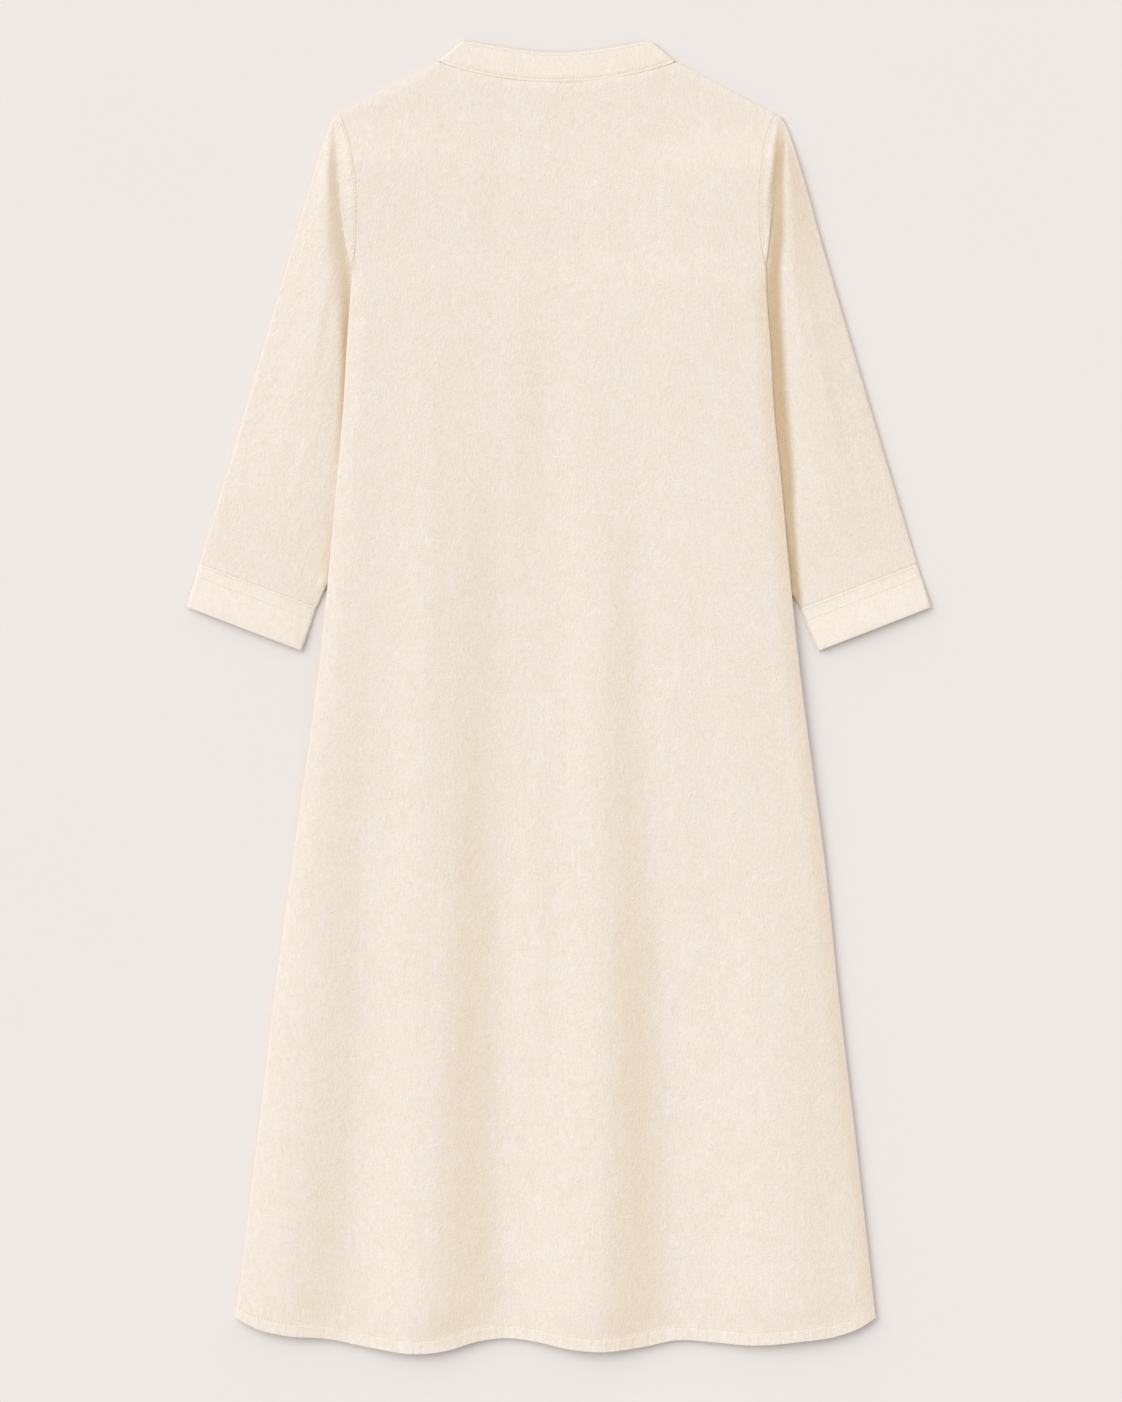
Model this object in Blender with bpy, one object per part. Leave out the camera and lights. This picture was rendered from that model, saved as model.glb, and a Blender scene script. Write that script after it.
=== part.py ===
"""A kurti laid flat with its back up: band collar, set-in three-quarter sleeves, A-line body.

Lengths are millimetres, turned into metres where a mesh is made. X runs across the garment,
+Y points to the collar and +Z up from the surface it lies on. "Down" is the distance below
the collar's top edge, and a half-breadth is a distance from the centre line.

The body is a tube of two like panels. Its sides are pushed in between the panels as gussets,
and the sleeves, which hang down beside the body, come out of those gussets. So the layers at
a side are, from the floor up: front, front return, sleeve, sleeve, back return, back.
"""

import math

import bmesh
import bpy
import numpy as np

MM = 0.001
LENGTH = 1157.6
WALL = 1.1
SEAM_GAP = 0.3
LAYER = WALL + SEAM_GAP
FOLD_RADIUS = LAYER / 2
FOLD_INSET = WALL / 2 + FOLD_RADIUS
FLOOR_LEVEL = WALL / 2
COLLAR_WALL = 1.8
CUFF_WALL = 1.4

SHOULDER_POINT_DOWN = 65.6
NECK_CORNER_DOWN = 19.8
CROSSING_DOWN = 201.1
UNDERARM_DOWN = 260.0
HEM_CORNER_DOWN = 1125.1
ARMHOLE_SCOOP = 1.3
CROSSING_TURN = 3.0
CROSSING_EASE, CROSSING_EASED = 2.0, 30.0
UNDERARM_LOWERED = 0.8
BACK_NECK_DROP, BACK_NECK_ROUNDNESS = 17.6, 2.1
FRONT_NECK_DROP, FRONT_NECK_ROUNDNESS = 77.4, 2.4
COLLAR_TOP_DOWN = 0.65
COLLAR_TOP_DROP, COLLAR_TOP_ROUNDNESS = 11.0, 1.7
FRONT_COLLAR_TOP_DROP, FRONT_COLLAR_TOP_ROUNDNESS = 71.0, 2.2
SLIT_HALF = 1.0
FRONT_SLIT_END_DOWN = 250.0
FRONT_HEM_SHORTER = 2.5

MIDDLE_LEVEL = 2.8
SETTLE_START, SETTLE_END = 22.0, 90.0
LAYERS_OPEN = (72.0, 92.0)
GUSSET_CLOSES = (505.0, 575.0)
SIDE_SEAM_CLOSES = (268.0, 300.0)
SIDE_SEAM_RAMP = 8.0
SLEEVE_DROP, SLEEVE_DROP_MOST = 14.0, 0.8
SLEEVE_PUFF = 2.2
PUFF_RISES = (80.0, 200.0)
PUFF_FLATTENS, PUFF_FLATTENED = (400.0, 500.0), 0.7
FOLD_WITHIN_SLEEVE = 1.5
FULL_TURN_TUCK = 3.0
SLEEVE_COVERED = 1.0

CLOTH_COLOUR = (0.88, 0.80, 0.70, 1.0)
CLOTH_ROUGHNESS = 0.9


def table(columns, rows):
    """A dictionary of columns, by name, from rows of numbers."""
    return dict(zip(columns.split(), np.array(rows, float).T))


# The tucked edge that shows, first of the armhole strip and then of the body.
SIDE_FOLD = table("down left right", [
    (72.6, 199.3, 196.2), (84.0, 196.2, 195.4), (136.8, 190.1, 190.3), (179.1, 184.8, 185.7),
    (201.1, 181.0, 183.5), (232.8, 182.5, 184.2), (268.8, 185.2, 187.2), (317.2, 188.8, 189.6),
    (396.4, 196.2, 197.3), (463.3, 200.6, 203.3), (564.5, 212.4, 214.0), (634.0, 221.8, 223.1),
    (726.4, 235.0, 235.4), (845.2, 250.8, 247.7), (964.0, 264.9, 261.8), (1125.1, 284.7, 279.8),
])
# The armhole seam on the side that faces up, until it crosses the fold.
ARMHOLE = table("down left right", [
    (65.6, 191.8, 190.5), (85.8, 184.8, 182.6), (107.8, 180.4, 179.5), (128.9, 177.8, 177.3),
    (150.9, 176.9, 176.4), (172.0, 177.6, 177.6), (201.1, 179.15, 181.65),
])
SLEEVE_OUTER = table("down left right", [
    (67.3, 196.2, 196.4), (72.6, 199.8, 199.4), (77.9, 202.4, 201.8), (106.0, 212.1, 211.4),
    (185.2, 235.8, 234.2), (264.4, 258.7, 257.4), (343.6, 281.6, 280.9), (461.1, 316.8, 316.2),
])
SLEEVE_INNER = table("down left right", [
    (260.0, 125.0, 126.4), (285.0, 136.0, 137.4), (317.2, 144.6, 145.6), (378.8, 160.2, 161.2),
    (440.4, 183.0, 184.0), (486.2, 202.8, 203.8), (499.9, 214.3, 214.3),
])
# How far the cloth is tucked in behind its side fold.
TUCK = table("down depth", [
    (92.0, 0.0), (104.0, 9.0), (141.2, 20.2), (201.1, 33.4), (229.2, 43.1), (260.0, 59.8),
    (317.2, 56.3), (396.4, 49.3), (486.2, 40.5), (634.0, 29.9), (845.2, 19.4), (1021.2, 12.3),
    (1125.1, 8.8),
])
HEM = table("across down", [
    (-284.7, 1125.1), (-270.0, 1133.0), (-244.0, 1140.0), (-205.0, 1144.0), (-165.0, 1150.6),
    (-125.0, 1157.6), (-99.0, 1155.9), (-72.0, 1148.0), (-48.0, 1143.6), (-19.0, 1145.3),
    (7.0, 1152.4), (40.0, 1157.6), (73.0, 1151.5), (106.0, 1143.8), (139.0, 1145.3),
    (170.0, 1149.0), (218.0, 1145.3), (245.0, 1141.0), (271.0, 1131.0), (279.8, 1125.1),
])
# Soft folds of the back, each from where it starts down to the hem.
FOLDS = (
    dict(start=320.0, across_start=-165.0, across_hem=-231.0, left=50.0, right=44.0, height=3.0),
    dict(start=250.0, across_start=-98.0, across_hem=-117.0, left=70.0, right=66.0, height=7.0),
    dict(start=400.0, across_start=24.0, across_hem=37.0, left=85.0, right=70.0, height=7.5),
    dict(start=480.0, across_start=160.0, across_hem=204.0, left=97.0, right=76.0, height=4.5),
)
CUFF_CORNERS = {
    "left": dict(outer_seam=(316.8, 461.1), inner_seam=(214.3, 499.9),
                 outer_end=(328.2, 499.4), inner_end=(225.3, 538.1)),
    "right": dict(outer_seam=(316.2, 461.1), inner_seam=(214.3, 500.9),
                  outer_end=(328.2, 499.6), inner_end=(228.6, 538.3)),
}

NECK_HALF = {"left": 104.7, "right": 103.4}
COLLAR_TOP_HALF = {"left": 83.6, "right": 81.0}

SLEEVE_TOP_ROW = 67.5
ARMHOLE_ROWS = (72.6, 80.0, 92.0, 108.0, 130.0, 155.0, 178.0, 191.0,
                CROSSING_DOWN, 209.0, 220.0, 240.0, 252.0, UNDERARM_DOWN)
BODY_ROWS = (285.0, 325.0, 375.0, 430.0, 495.0, 540.0, 585.0, 640.0, 700.0, 770.0, 840.0,
             910.0, 975.0, 1035.0, 1085.0, HEM_CORNER_DOWN)
SLEEVE_ROWS = (266.0, 285.0, 317.0, 350.0, 380.0, 410.0, 440.0, 465.0, 486.0, 499.6)
BACK_COLUMNS = np.linspace(0.0, 1.0, 27)
FRONT_NECK_SHARES = np.linspace(0.0, 1.0, 9)
FRONT_SIDE_SHARES = (0.0, 0.33, 0.67, 1.0)
BACK_COLLAR_SHARES = np.linspace(0.0, 1.0, 10)
COLLAR_BANDS = (0.0, 0.5, 1.0)
COLLAR_TURN_STEPS = 4
CUFF_SHARES = (0.0, 0.33, 0.67, 1.0)
CUFF_COLUMNS = 7
# The sleeve's columns, from where it leaves the body: first close together, then spread.
NEAR_OFFSETS, NEAR_ROOM = (2.0, 5.0, 8.0, 11.5, 15.0), 24.0
SPREAD_SHARES = (0.25, 0.5, 0.75, 1.0)
STRIP_SHARES = (0.0, 0.5, 1.0)
LEAST_ROOM = 0.5
CROSSING_PASSES = 12
TURN_STEPS = 5
RETURN_POINTS = 5
ROW_TOLERANCE = 0.1
NEARLY_WHOLE = 0.999
MEETING_DISTANCE = 0.01
CROSSING_GAP_ANGLE = 0.75 * SEAM_GAP / FOLD_RADIUS
COLLAR_INSET = COLLAR_WALL + SEAM_GAP / 2
COLLAR_LOW = COLLAR_WALL / 2
COLLAR_HIGH = COLLAR_LOW + COLLAR_WALL + SEAM_GAP


def read(values, column, at, by="down"):
    """A smooth curve through one column of a table, read at a place."""
    places, heights = values[by], values[column]
    slopes = np.gradient(heights, places)
    at = min(max(at, places[0]), places[-1])
    i = min(int(np.searchsorted(places, at, side="right")) - 1, len(places) - 2)
    step = places[i + 1] - places[i]
    t = (at - places[i]) / step
    rise = 3 * t**2 - 2 * t**3
    return (heights[i] * (1 - rise) + heights[i + 1] * rise
            + step * (slopes[i] * (t**3 - 2 * t**2 + t) + slopes[i + 1] * (t**3 - t**2)))


def mix(a, b, share):
    return a + (b - a) * share


def smooth(value, start=0.0, end=1.0):
    """0 before start, 1 after end, and an even S between them."""
    t = min(max((value - start) / (end - start), 0.0), 1.0)
    return t * t * (3 - 2 * t)


def drop(across, half_breadth, depth, roundness):
    """How far a neckline has dropped at a place across."""
    share = min(abs(across) / half_breadth, 1.0)
    return depth * (1 - share**roundness)


def side_of(across):
    return "left" if across < 0 else "right"


def outward(side):
    return -1.0 if side == "left" else 1.0


def side_fold(side, down):
    """The half-breadth of the tucked edge, which starts at the sleeve's own edge."""
    fold = read(SIDE_FOLD, side, down)
    if down < UNDERARM_DOWN:
        return min(fold, read(SLEEVE_OUTER, side, down) - FOLD_WITHIN_SLEEVE)
    return fold


def tuck_depth(down):
    return read(TUCK, "depth", down)


def open_layer(down):
    """The spacing of the tucked layers, which opens below the shoulder point."""
    return LAYER * smooth(down, *LAYERS_OPEN)


def sleeve_room(down):
    """The height that the two sleeve layers take between the returns."""
    return 2 * LAYER * (1 - smooth(down, *GUSSET_CLOSES))


def top_level(down):
    """The back's height at its side fold."""
    if down < UNDERARM_DOWN:
        return FLOOR_LEVEL + LAYER + 4 * open_layer(down)
    return FLOOR_LEVEL + 3 * LAYER + sleeve_room(down)


def back_return_level(down):
    """The height of the back's turned-under side."""
    return top_level(down) - (open_layer(down) if down < UNDERARM_DOWN else LAYER)


def front_return_level(down):
    """The height of the front's turned-over side."""
    return FLOOR_LEVEL + (open_layer(down) if down < UNDERARM_DOWN else LAYER)


def fold_height(across, down):
    """The soft folds' height over the back's resting level."""
    height = 0.0
    for fold in FOLDS:
        grown = max(down - fold["start"], 0.0) / (LENGTH - fold["start"])
        crest = mix(fold["across_start"], fold["across_hem"], grown)
        reach = fold["left"] if across < crest else fold["right"]
        share = min(abs(across - crest) / reach, 1.0)
        height += fold["height"] * smooth(grown) * (1 + math.cos(math.pi * share)) / 2
    return height


def back_level(across, down):
    """The back's height: on its tucked sides it lies high, and it settles to the middle."""
    side = side_of(across)
    valley = side_fold(side, down) - tuck_depth(down)
    settled = smooth(valley - abs(across), SETTLE_START, SETTLE_END)
    return mix(top_level(down), MIDDLE_LEVEL, settled) + fold_height(across, down)


def front_level(_across, _down):
    return FLOOR_LEVEL


def shoulder_or_neck(across, neck_drop, neck_roundness):
    """The top line of a panel: neckline in the middle, shoulder seam on each side."""
    side = side_of(across)
    neck, point = NECK_HALF[side], ARMHOLE[side][0]
    if abs(across) <= neck:
        return NECK_CORNER_DOWN + SEAM_GAP + drop(across, neck, neck_drop, neck_roundness)
    return mix(NECK_CORNER_DOWN + SEAM_GAP, SHOULDER_POINT_DOWN,
               (abs(across) - neck) / (point - neck))


def back_top(across):
    return shoulder_or_neck(across, BACK_NECK_DROP, BACK_NECK_ROUNDNESS)


def front_top(across):
    if abs(across) < SEAM_GAP:
        return FRONT_SLIT_END_DOWN
    return shoulder_or_neck(across, FRONT_NECK_DROP, FRONT_NECK_ROUNDNESS)


def at_crossing(down):
    """Whether this is the row where the armhole seam crosses the side fold."""
    return abs(down - CROSSING_DOWN) < ROW_TOLERANCE


def turns_under(down):
    """Whether a panel reaches its side fold, as it does from that crossing down."""
    return down > CROSSING_DOWN - ROW_TOLERANCE


def panel_half(side, down):
    """Where a panel's main layer ends: at the armhole seam, or where it turns under."""
    if turns_under(down):
        return side_fold(side, down) - FOLD_INSET
    return read(ARMHOLE, side, down) - SEAM_GAP / 2


def seam_inset(down):
    """How far behind the side fold the armhole seam lies, on its scoop to the underarm."""
    share = (down - CROSSING_DOWN) / (UNDERARM_DOWN - CROSSING_DOWN)
    whole = tuck_depth(UNDERARM_DOWN) - FOLD_INSET
    return mix(FOLD_INSET, whole, max(share, 0.0) ** ARMHOLE_SCOOP)


def on_turn(across, bulge, first, last, angle):
    """A point part of the way round a fold from one level to another."""
    return across + bulge * math.sin(angle), mix(first, last, (1 - math.cos(angle)) / 2)


def turn(across, bulge, first, last, steps=TURN_STEPS, start=0.0, end=math.pi):
    """The points between the ends of a fold from one level to another."""
    angles = np.linspace(start, end, steps + 1)[1:-1]
    return [on_turn(across, bulge, first, last, angle) for angle in angles]


def return_strip(side, down, main_level, level, seam_level):
    """A panel's turned-under strip, from its fold to its seam, as (half-breadth, height)."""
    edge = panel_half(side, down)
    if not turns_under(down):
        return [(edge, main_level)] * (TURN_STEPS - 1 + RETURN_POINTS)
    if at_crossing(down):
        angle = math.pi / 2 - CROSSING_GAP_ANGLE
        points = turn(edge, FOLD_RADIUS, main_level, level, end=angle)
        return points + [on_turn(edge, FOLD_RADIUS, main_level, level, angle)] * RETURN_POINTS
    fold = side_fold(side, down)
    if down < UNDERARM_DOWN + ROW_TOLERANCE:
        end = min(fold - seam_inset(down) + SEAM_GAP + crossing_ease(down), edge)
        ramp_start, end_level = end, level
    else:
        end = fold - tuck_depth(down)
        ramp_start, end_level = min(end + SIDE_SEAM_RAMP, edge), seam_level
    points = turn(edge, FOLD_RADIUS, main_level, level)
    points += [(edge, level), (mix(edge, ramp_start, 0.5), level), (ramp_start, level)]
    points += [(mix(ramp_start, end, 0.5), mix(level, end_level, 0.5)), (end, end_level)]
    return points


def front_columns():
    """The front's columns, which pass through the collar's points and both sides of the slit."""
    left, right = -panel_half("left", 0), panel_half("right", 0)
    across = [0.0]
    for side in ("left", "right"):
        neck = NECK_HALF[side]
        across += [outward(side) * half for half in front_neck_halves(side)]
        across += [outward(side) * mix(neck, panel_half(side, 0), share)
                   for share in FRONT_SIDE_SHARES]
    return [(x - left) / (right - left) for x in sorted(across)]


def front_neck_halves(side):
    """Places along the front neckline, from the slit out to the collar's side fold."""
    return [mix(SLIT_HALF, NECK_HALF[side] - COLLAR_INSET, share) for share in FRONT_NECK_SHARES]


def panel_rows(columns, top_line, hem_lift, level_at, is_back):
    """The grid of a body panel: rows run across, from seam to seam under both side folds."""
    left_top, right_top = -panel_half("left", 0), panel_half("right", 0)
    left_hem, right_hem = HEM["across"][0], HEM["across"][-1]
    rows = []
    for edge_down in (SHOULDER_POINT_DOWN,) + ARMHOLE_ROWS + BODY_ROWS:
        share = (edge_down - SHOULDER_POINT_DOWN) / (HEM_CORNER_DOWN - SHOULDER_POINT_DOWN)
        main = []
        for c in columns:
            start = top_line(mix(left_top, right_top, c))
            hem = read(HEM, "down", mix(left_hem, right_hem, c), by="across") - hem_lift
            down = mix(start, hem, share)
            across = mix(-panel_half("left", edge_down), panel_half("right", edge_down), c)
            main.append((across, down, level_at(across, down)))
        tucked = {}
        for side, end in (("left", main[0]), ("right", main[-1])):
            down = end[1]
            level = back_return_level(down) if is_back else front_return_level(down)
            shift = sleeve_room(down) / 2 * smooth(down, *SIDE_SEAM_CLOSES)
            seam_level = level - shift if is_back else level + shift
            tucked[side] = [(outward(side) * half, down, z) for half, z
                            in return_strip(side, down, end[2], level, seam_level)]
        rows.append(tucked["left"][::-1] + main + tucked["right"])
    return rows


def crossing_ease(down):
    """The room that the sleeve's thick edge needs where its seam goes round the side fold."""
    return CROSSING_EASE * (1 - smooth(abs(down - CROSSING_DOWN), 0.0, CROSSING_EASED))


def sleeve_lift(half, crossing, drop_length, down):
    """How high the sleeve's lower layer lies: over the front's two layers, then on the floor."""
    return FLOOR_LEVEL + 2 * open_layer(down) * (1 - smooth(half, crossing, crossing + drop_length))


def sleeve_row(side, inner, outer, attached):
    """One section of a sleeve, from its back seam round the outer fold to its front seam."""

    def down_at(half):
        return mix(inner[1], outer[1], (half - inner[0]) / (outer[0] - inner[0]))

    down = inner[1]
    fold = side_fold(side, down)
    if attached:
        tuck = tuck_depth(down)
        bulge = FOLD_RADIUS * min(tuck / FULL_TURN_TUCK, 1.0)
        crossing = fold - WALL / 2 - bulge
        valley = crossing - max(tuck - 2 * FOLD_INSET, 0.0)
        strip_start = min(read(ARMHOLE, side, down) + SEAM_GAP / 2 + crossing_ease(down),
                          crossing - SEAM_GAP)
        return_start = crossing
        if turns_under(down) and not at_crossing(down):
            strip_start = return_start = fold - seam_inset(down) - SEAM_GAP - crossing_ease(down)
            valley = min(valley, return_start)
    else:
        valley = inner[0] + FOLD_INSET
        crossing = fold
        for _ in range(CROSSING_PASSES):
            crossing = side_fold(side, down_at(crossing))
        crossing = max(crossing - SLEEVE_COVERED, valley)
    end = outer[0] - FOLD_INSET
    room = max(end - crossing, LEAST_ROOM)
    drop_length = min(SLEEVE_DROP, SLEEVE_DROP_MOST * room)
    near = [crossing + offset * min(1.0, room / NEAR_ROOM) for offset in NEAR_OFFSETS]
    spread = [mix(near[-1], end, share) for share in SPREAD_SHARES]
    main = [valley, mix(valley, crossing, 0.5), crossing] + near + spread

    def lower_level(half):
        return sleeve_lift(half, crossing, drop_length, down)

    def upper_level(half):
        share = min(max((half - crossing) / room, 0.0), 1.0)
        flattened = PUFF_FLATTENED * smooth(down_at(half), *PUFF_FLATTENS)
        puff = SLEEVE_PUFF * (smooth(down, *PUFF_RISES) * (1 - flattened))
        return lower_level(half) + LAYER + puff * math.sin(math.pi * share) ** 2

    def half_section(levels, main_level):
        strip_level, return_level = levels
        inside = main_level(valley)
        if not attached:
            middle = (lower_level(valley) + upper_level(valley)) / 2
            start = middle + math.copysign(SEAM_GAP / 2, inside - middle)
            quarter = turn(valley, -FOLD_RADIUS, 2 * middle - inside, inside,
                           TURN_STEPS, math.pi / 2, math.pi)
            points = [(inner[0] + WALL / 2, start)] * (len(STRIP_SHARES) + TURN_STEPS - 1 + 2)
            return points + quarter + [(half, main_level(half)) for half in main]
        points = [(mix(strip_start, crossing, share), strip_level) for share in STRIP_SHARES]
        points += turn(crossing, bulge, strip_level, return_level)
        if down >= UNDERARM_DOWN:
            return_level = mix(return_level, inside, UNDERARM_LOWERED)
        if at_crossing(down):
            angle = math.pi / 2 + CROSSING_TURN * CROSSING_GAP_ANGLE
            points = [on_turn(crossing, bulge, strip_level, return_level, angle)]
            points *= len(STRIP_SHARES)
            points += turn(crossing, bulge, strip_level, return_level, start=angle)
        elif turns_under(down):
            points = [(return_start, return_level)] * len(points)
        points += [(return_start, return_level), (valley, return_level)]
        points += turn(valley, -bulge, return_level, inside)
        return points + [(half, main_level(half)) for half in main]

    upper = half_section((top_level(down), back_return_level(down)), upper_level)
    lower = half_section((FLOOR_LEVEL, front_return_level(down)), lower_level)
    section = upper + turn(end, FOLD_RADIUS, upper[-1][1], lower[-1][1]) + lower[::-1]
    return [(outward(side) * half, down_at(half), z) for half, z in section]


def sleeve_rows(side):
    """A sleeve's sections, from the shoulder to its cuff; below the underarm they slant."""
    rows = []
    for down in (SLEEVE_TOP_ROW,) + ARMHOLE_ROWS:
        outer = read(SLEEVE_OUTER, side, down)
        rows.append(sleeve_row(side, (0.0, down), (outer, down), True))
    outer_start, outer_end = UNDERARM_DOWN, SLEEVE_OUTER["down"][-1] - SEAM_GAP
    for down in SLEEVE_ROWS:
        share = (down - UNDERARM_DOWN) / (SLEEVE_ROWS[-1] - UNDERARM_DOWN)
        outer_down = mix(outer_start, outer_end, share)
        inner = (read(SLEEVE_INNER, side, down), down)
        outer = (read(SLEEVE_OUTER, side, outer_down), outer_down)
        rows.append(sleeve_row(side, inner, outer, False))
    return rows


def cuff_rows(side):
    """Rings of the flattened cuff, from its seam to its open end."""
    corners = CUFF_CORNERS[side]
    low = CUFF_WALL / 2
    high = low + CUFF_WALL + SEAM_GAP
    radius = (high - low) / 2
    inset = radius + CUFF_WALL / 2
    rows = []
    for share in CUFF_SHARES:
        inner = [mix(a, b, share) for a, b in zip(corners["inner_seam"], corners["inner_end"])]
        outer = [mix(a, b, share) for a, b in zip(corners["outer_seam"], corners["outer_end"])]
        breadth = outer[0] - inner[0]
        halves = np.linspace(inner[0] + inset, outer[0] - inset, CUFF_COLUMNS)
        ring = [(half, high) for half in halves]
        ring += turn(halves[-1], radius, high, low)
        ring += [(half, low) for half in halves[::-1]]
        ring += turn(halves[0], -radius, low, high)
        rows.append([(outward(side) * half,
                      mix(inner[1], outer[1], (half - inner[0]) / breadth), z)
                     for half, z in ring])
    return rows


def collar_point(side, half, band, is_back):
    """A point of the collar's mid-surface; band runs from 0 at its seam to 1 at its top edge."""
    neck, top = NECK_HALF[side], COLLAR_TOP_HALF[side]
    share = half / (neck - COLLAR_INSET)
    if is_back:
        seam_drop = drop(half, neck, BACK_NECK_DROP, BACK_NECK_ROUNDNESS)
        top_drop = drop(share, 1.0, COLLAR_TOP_DROP, COLLAR_TOP_ROUNDNESS)
    else:
        seam_drop = drop(half, neck, FRONT_NECK_DROP, FRONT_NECK_ROUNDNESS)
        top_drop = drop(share, 1.0, FRONT_COLLAR_TOP_DROP, FRONT_COLLAR_TOP_ROUNDNESS)
    if share > NEARLY_WHOLE:
        seam_drop = 0.0
    across = mix(half, (top - COLLAR_INSET) * share, band)
    down = mix(NECK_CORNER_DOWN + seam_drop, COLLAR_TOP_DOWN + top_drop, band)
    return outward(side) * across, down, COLLAR_HIGH if is_back else COLLAR_LOW


def collar_rows():
    """The band, from one end at the centre front round the neck to the other."""
    radius = (COLLAR_HIGH - COLLAR_LOW) / 2
    rows = []
    for band in COLLAR_BANDS:
        fronts, backs, folds = {}, {}, {}
        for side in ("left", "right"):
            whole = NECK_HALF[side] - COLLAR_INSET
            fronts[side] = [collar_point(side, half, band, False) for half in front_neck_halves(side)]
            backs[side] = [collar_point(side, whole * share, band, True)
                           for share in BACK_COLLAR_SHARES]
            start, end = fronts[side][-1], backs[side][-1]
            folds[side] = [(start[0] + outward(side) * bulge,
                            mix(start[1], end[1], (z - COLLAR_LOW) / (COLLAR_HIGH - COLLAR_LOW)), z)
                           for bulge, z in turn(0.0, radius, COLLAR_LOW, COLLAR_HIGH,
                                                COLLAR_TURN_STEPS)]
        rows.append(fronts["left"] + folds["left"] + backs["left"][:0:-1]
                    + backs["right"] + folds["right"][::-1] + fronts["right"][::-1])
    return rows


def cloth_material(name):
    """Plain matt cotton."""
    material = bpy.data.materials.new(name)
    material.use_nodes = True
    shader = material.node_tree.nodes["Principled BSDF"]
    shader.inputs["Base Color"].default_value = CLOTH_COLOUR
    shader.inputs["Roughness"].default_value = CLOTH_ROUGHNESS
    shader.inputs["Metallic"].default_value = 0.0
    return material


def make_cloth(name, rows, wall, closed=False):
    """A sheet through rows of points, (across, down, height), given its wall by a Solidify."""
    width = len(rows[0])
    points = [(x * MM, (LENGTH / 2 - down) * MM, z * MM) for row in rows for x, down, z in row]
    faces = []
    for row in range(len(rows) - 1):
        here = row * width
        below = here + width
        for i in range(width if closed else width - 1):
            j = (i + 1) % width
            faces.append((here + i, below + i, below + j, here + j))
    mesh = bpy.data.meshes.new(name)
    mesh.from_pydata(points, [], faces)
    merge_meeting_points(mesh)
    mesh.shade_smooth()
    mesh.materials.append(cloth_material(name + "_cloth"))
    piece = bpy.data.objects.new(name, mesh)
    bpy.context.scene.collection.objects.link(piece)
    solidify = piece.modifiers.new("wall", "SOLIDIFY")
    solidify.thickness = wall * MM
    solidify.offset = 0.0
    return piece


def merge_meeting_points(mesh):
    """Where a strip runs out to nothing, its points meet and its empty faces go."""
    work = bmesh.new()
    work.from_mesh(mesh)
    bmesh.ops.remove_doubles(work, verts=work.verts, dist=MEETING_DISTANCE * MM)
    bmesh.ops.dissolve_degenerate(work, edges=work.edges, dist=MEETING_DISTANCE * MM)
    work.to_mesh(mesh)
    work.free()


def main():
    """Make the seven pieces in an empty scene."""
    for old in list(bpy.data.objects):
        bpy.data.objects.remove(old, do_unlink=True)
    make_cloth("back", panel_rows(BACK_COLUMNS, back_top, 0.0, back_level, True), WALL)
    make_cloth("front", panel_rows(front_columns(), front_top, FRONT_HEM_SHORTER,
                                   front_level, False), WALL)
    make_cloth("collar", collar_rows(), COLLAR_WALL)
    for side in ("left", "right"):
        make_cloth("sleeve_" + side, sleeve_rows(side), WALL)
        make_cloth("cuff_" + side, cuff_rows(side), CUFF_WALL, closed=True)


main()
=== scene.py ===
"""The looks of a kurti laid flat with its back up: seven sewn pieces, their thread and a stage.

Lengths are millimetres, turned into metres where a mesh is made. X runs across the garment,
+Y points to the collar and +Z up from the surface it lies on. "Down" is the distance below
the collar's top edge, and a half-breadth is a distance from the centre line.

The body is a tube of two like panels. Its sides are pushed in between the panels as gussets,
and the sleeves, which hang down beside the body, come out of those gussets. So the layers at
a side are, from the floor up: front, front return, sleeve, sleeve, back return, back.
"""

import math

import bmesh
import bpy
import numpy as np
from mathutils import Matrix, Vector, noise


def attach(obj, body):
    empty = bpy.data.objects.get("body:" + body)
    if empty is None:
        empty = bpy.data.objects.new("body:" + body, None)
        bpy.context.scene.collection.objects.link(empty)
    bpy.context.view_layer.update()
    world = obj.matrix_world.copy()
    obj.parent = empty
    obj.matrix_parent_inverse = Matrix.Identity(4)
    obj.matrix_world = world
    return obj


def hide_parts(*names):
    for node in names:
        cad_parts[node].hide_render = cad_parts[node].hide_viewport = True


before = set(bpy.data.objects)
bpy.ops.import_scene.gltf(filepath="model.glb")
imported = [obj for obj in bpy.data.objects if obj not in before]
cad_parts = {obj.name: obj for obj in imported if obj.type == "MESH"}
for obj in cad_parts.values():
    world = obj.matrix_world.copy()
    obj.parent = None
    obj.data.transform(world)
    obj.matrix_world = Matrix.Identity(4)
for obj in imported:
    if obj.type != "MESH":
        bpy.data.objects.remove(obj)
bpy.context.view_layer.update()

bl_info = {
    "name": "Kurti laid flat",
    "version": (1, 0, 0),
    "blender": (4, 5, 0),
    "location": "3D View > Sidebar > Kurti",
    "description": "Makes a laid-out cotton kurti, its stitching and a plain stage",
    "category": "Object",
}

# ---------------------------------------------------------------- the cut and the lay

MM = 0.001
LENGTH = 1157.6
WALL = 1.1
SEAM_GAP = 0.3
SEAM_LINE = 0.04
LAYER = WALL + SEAM_GAP
FOLD_RADIUS = LAYER / 2
FOLD_INSET = WALL / 2 + FOLD_RADIUS
FLOOR_LEVEL = WALL / 2
COLLAR_WALL = 1.8
CUFF_WALL = 1.4

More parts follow.
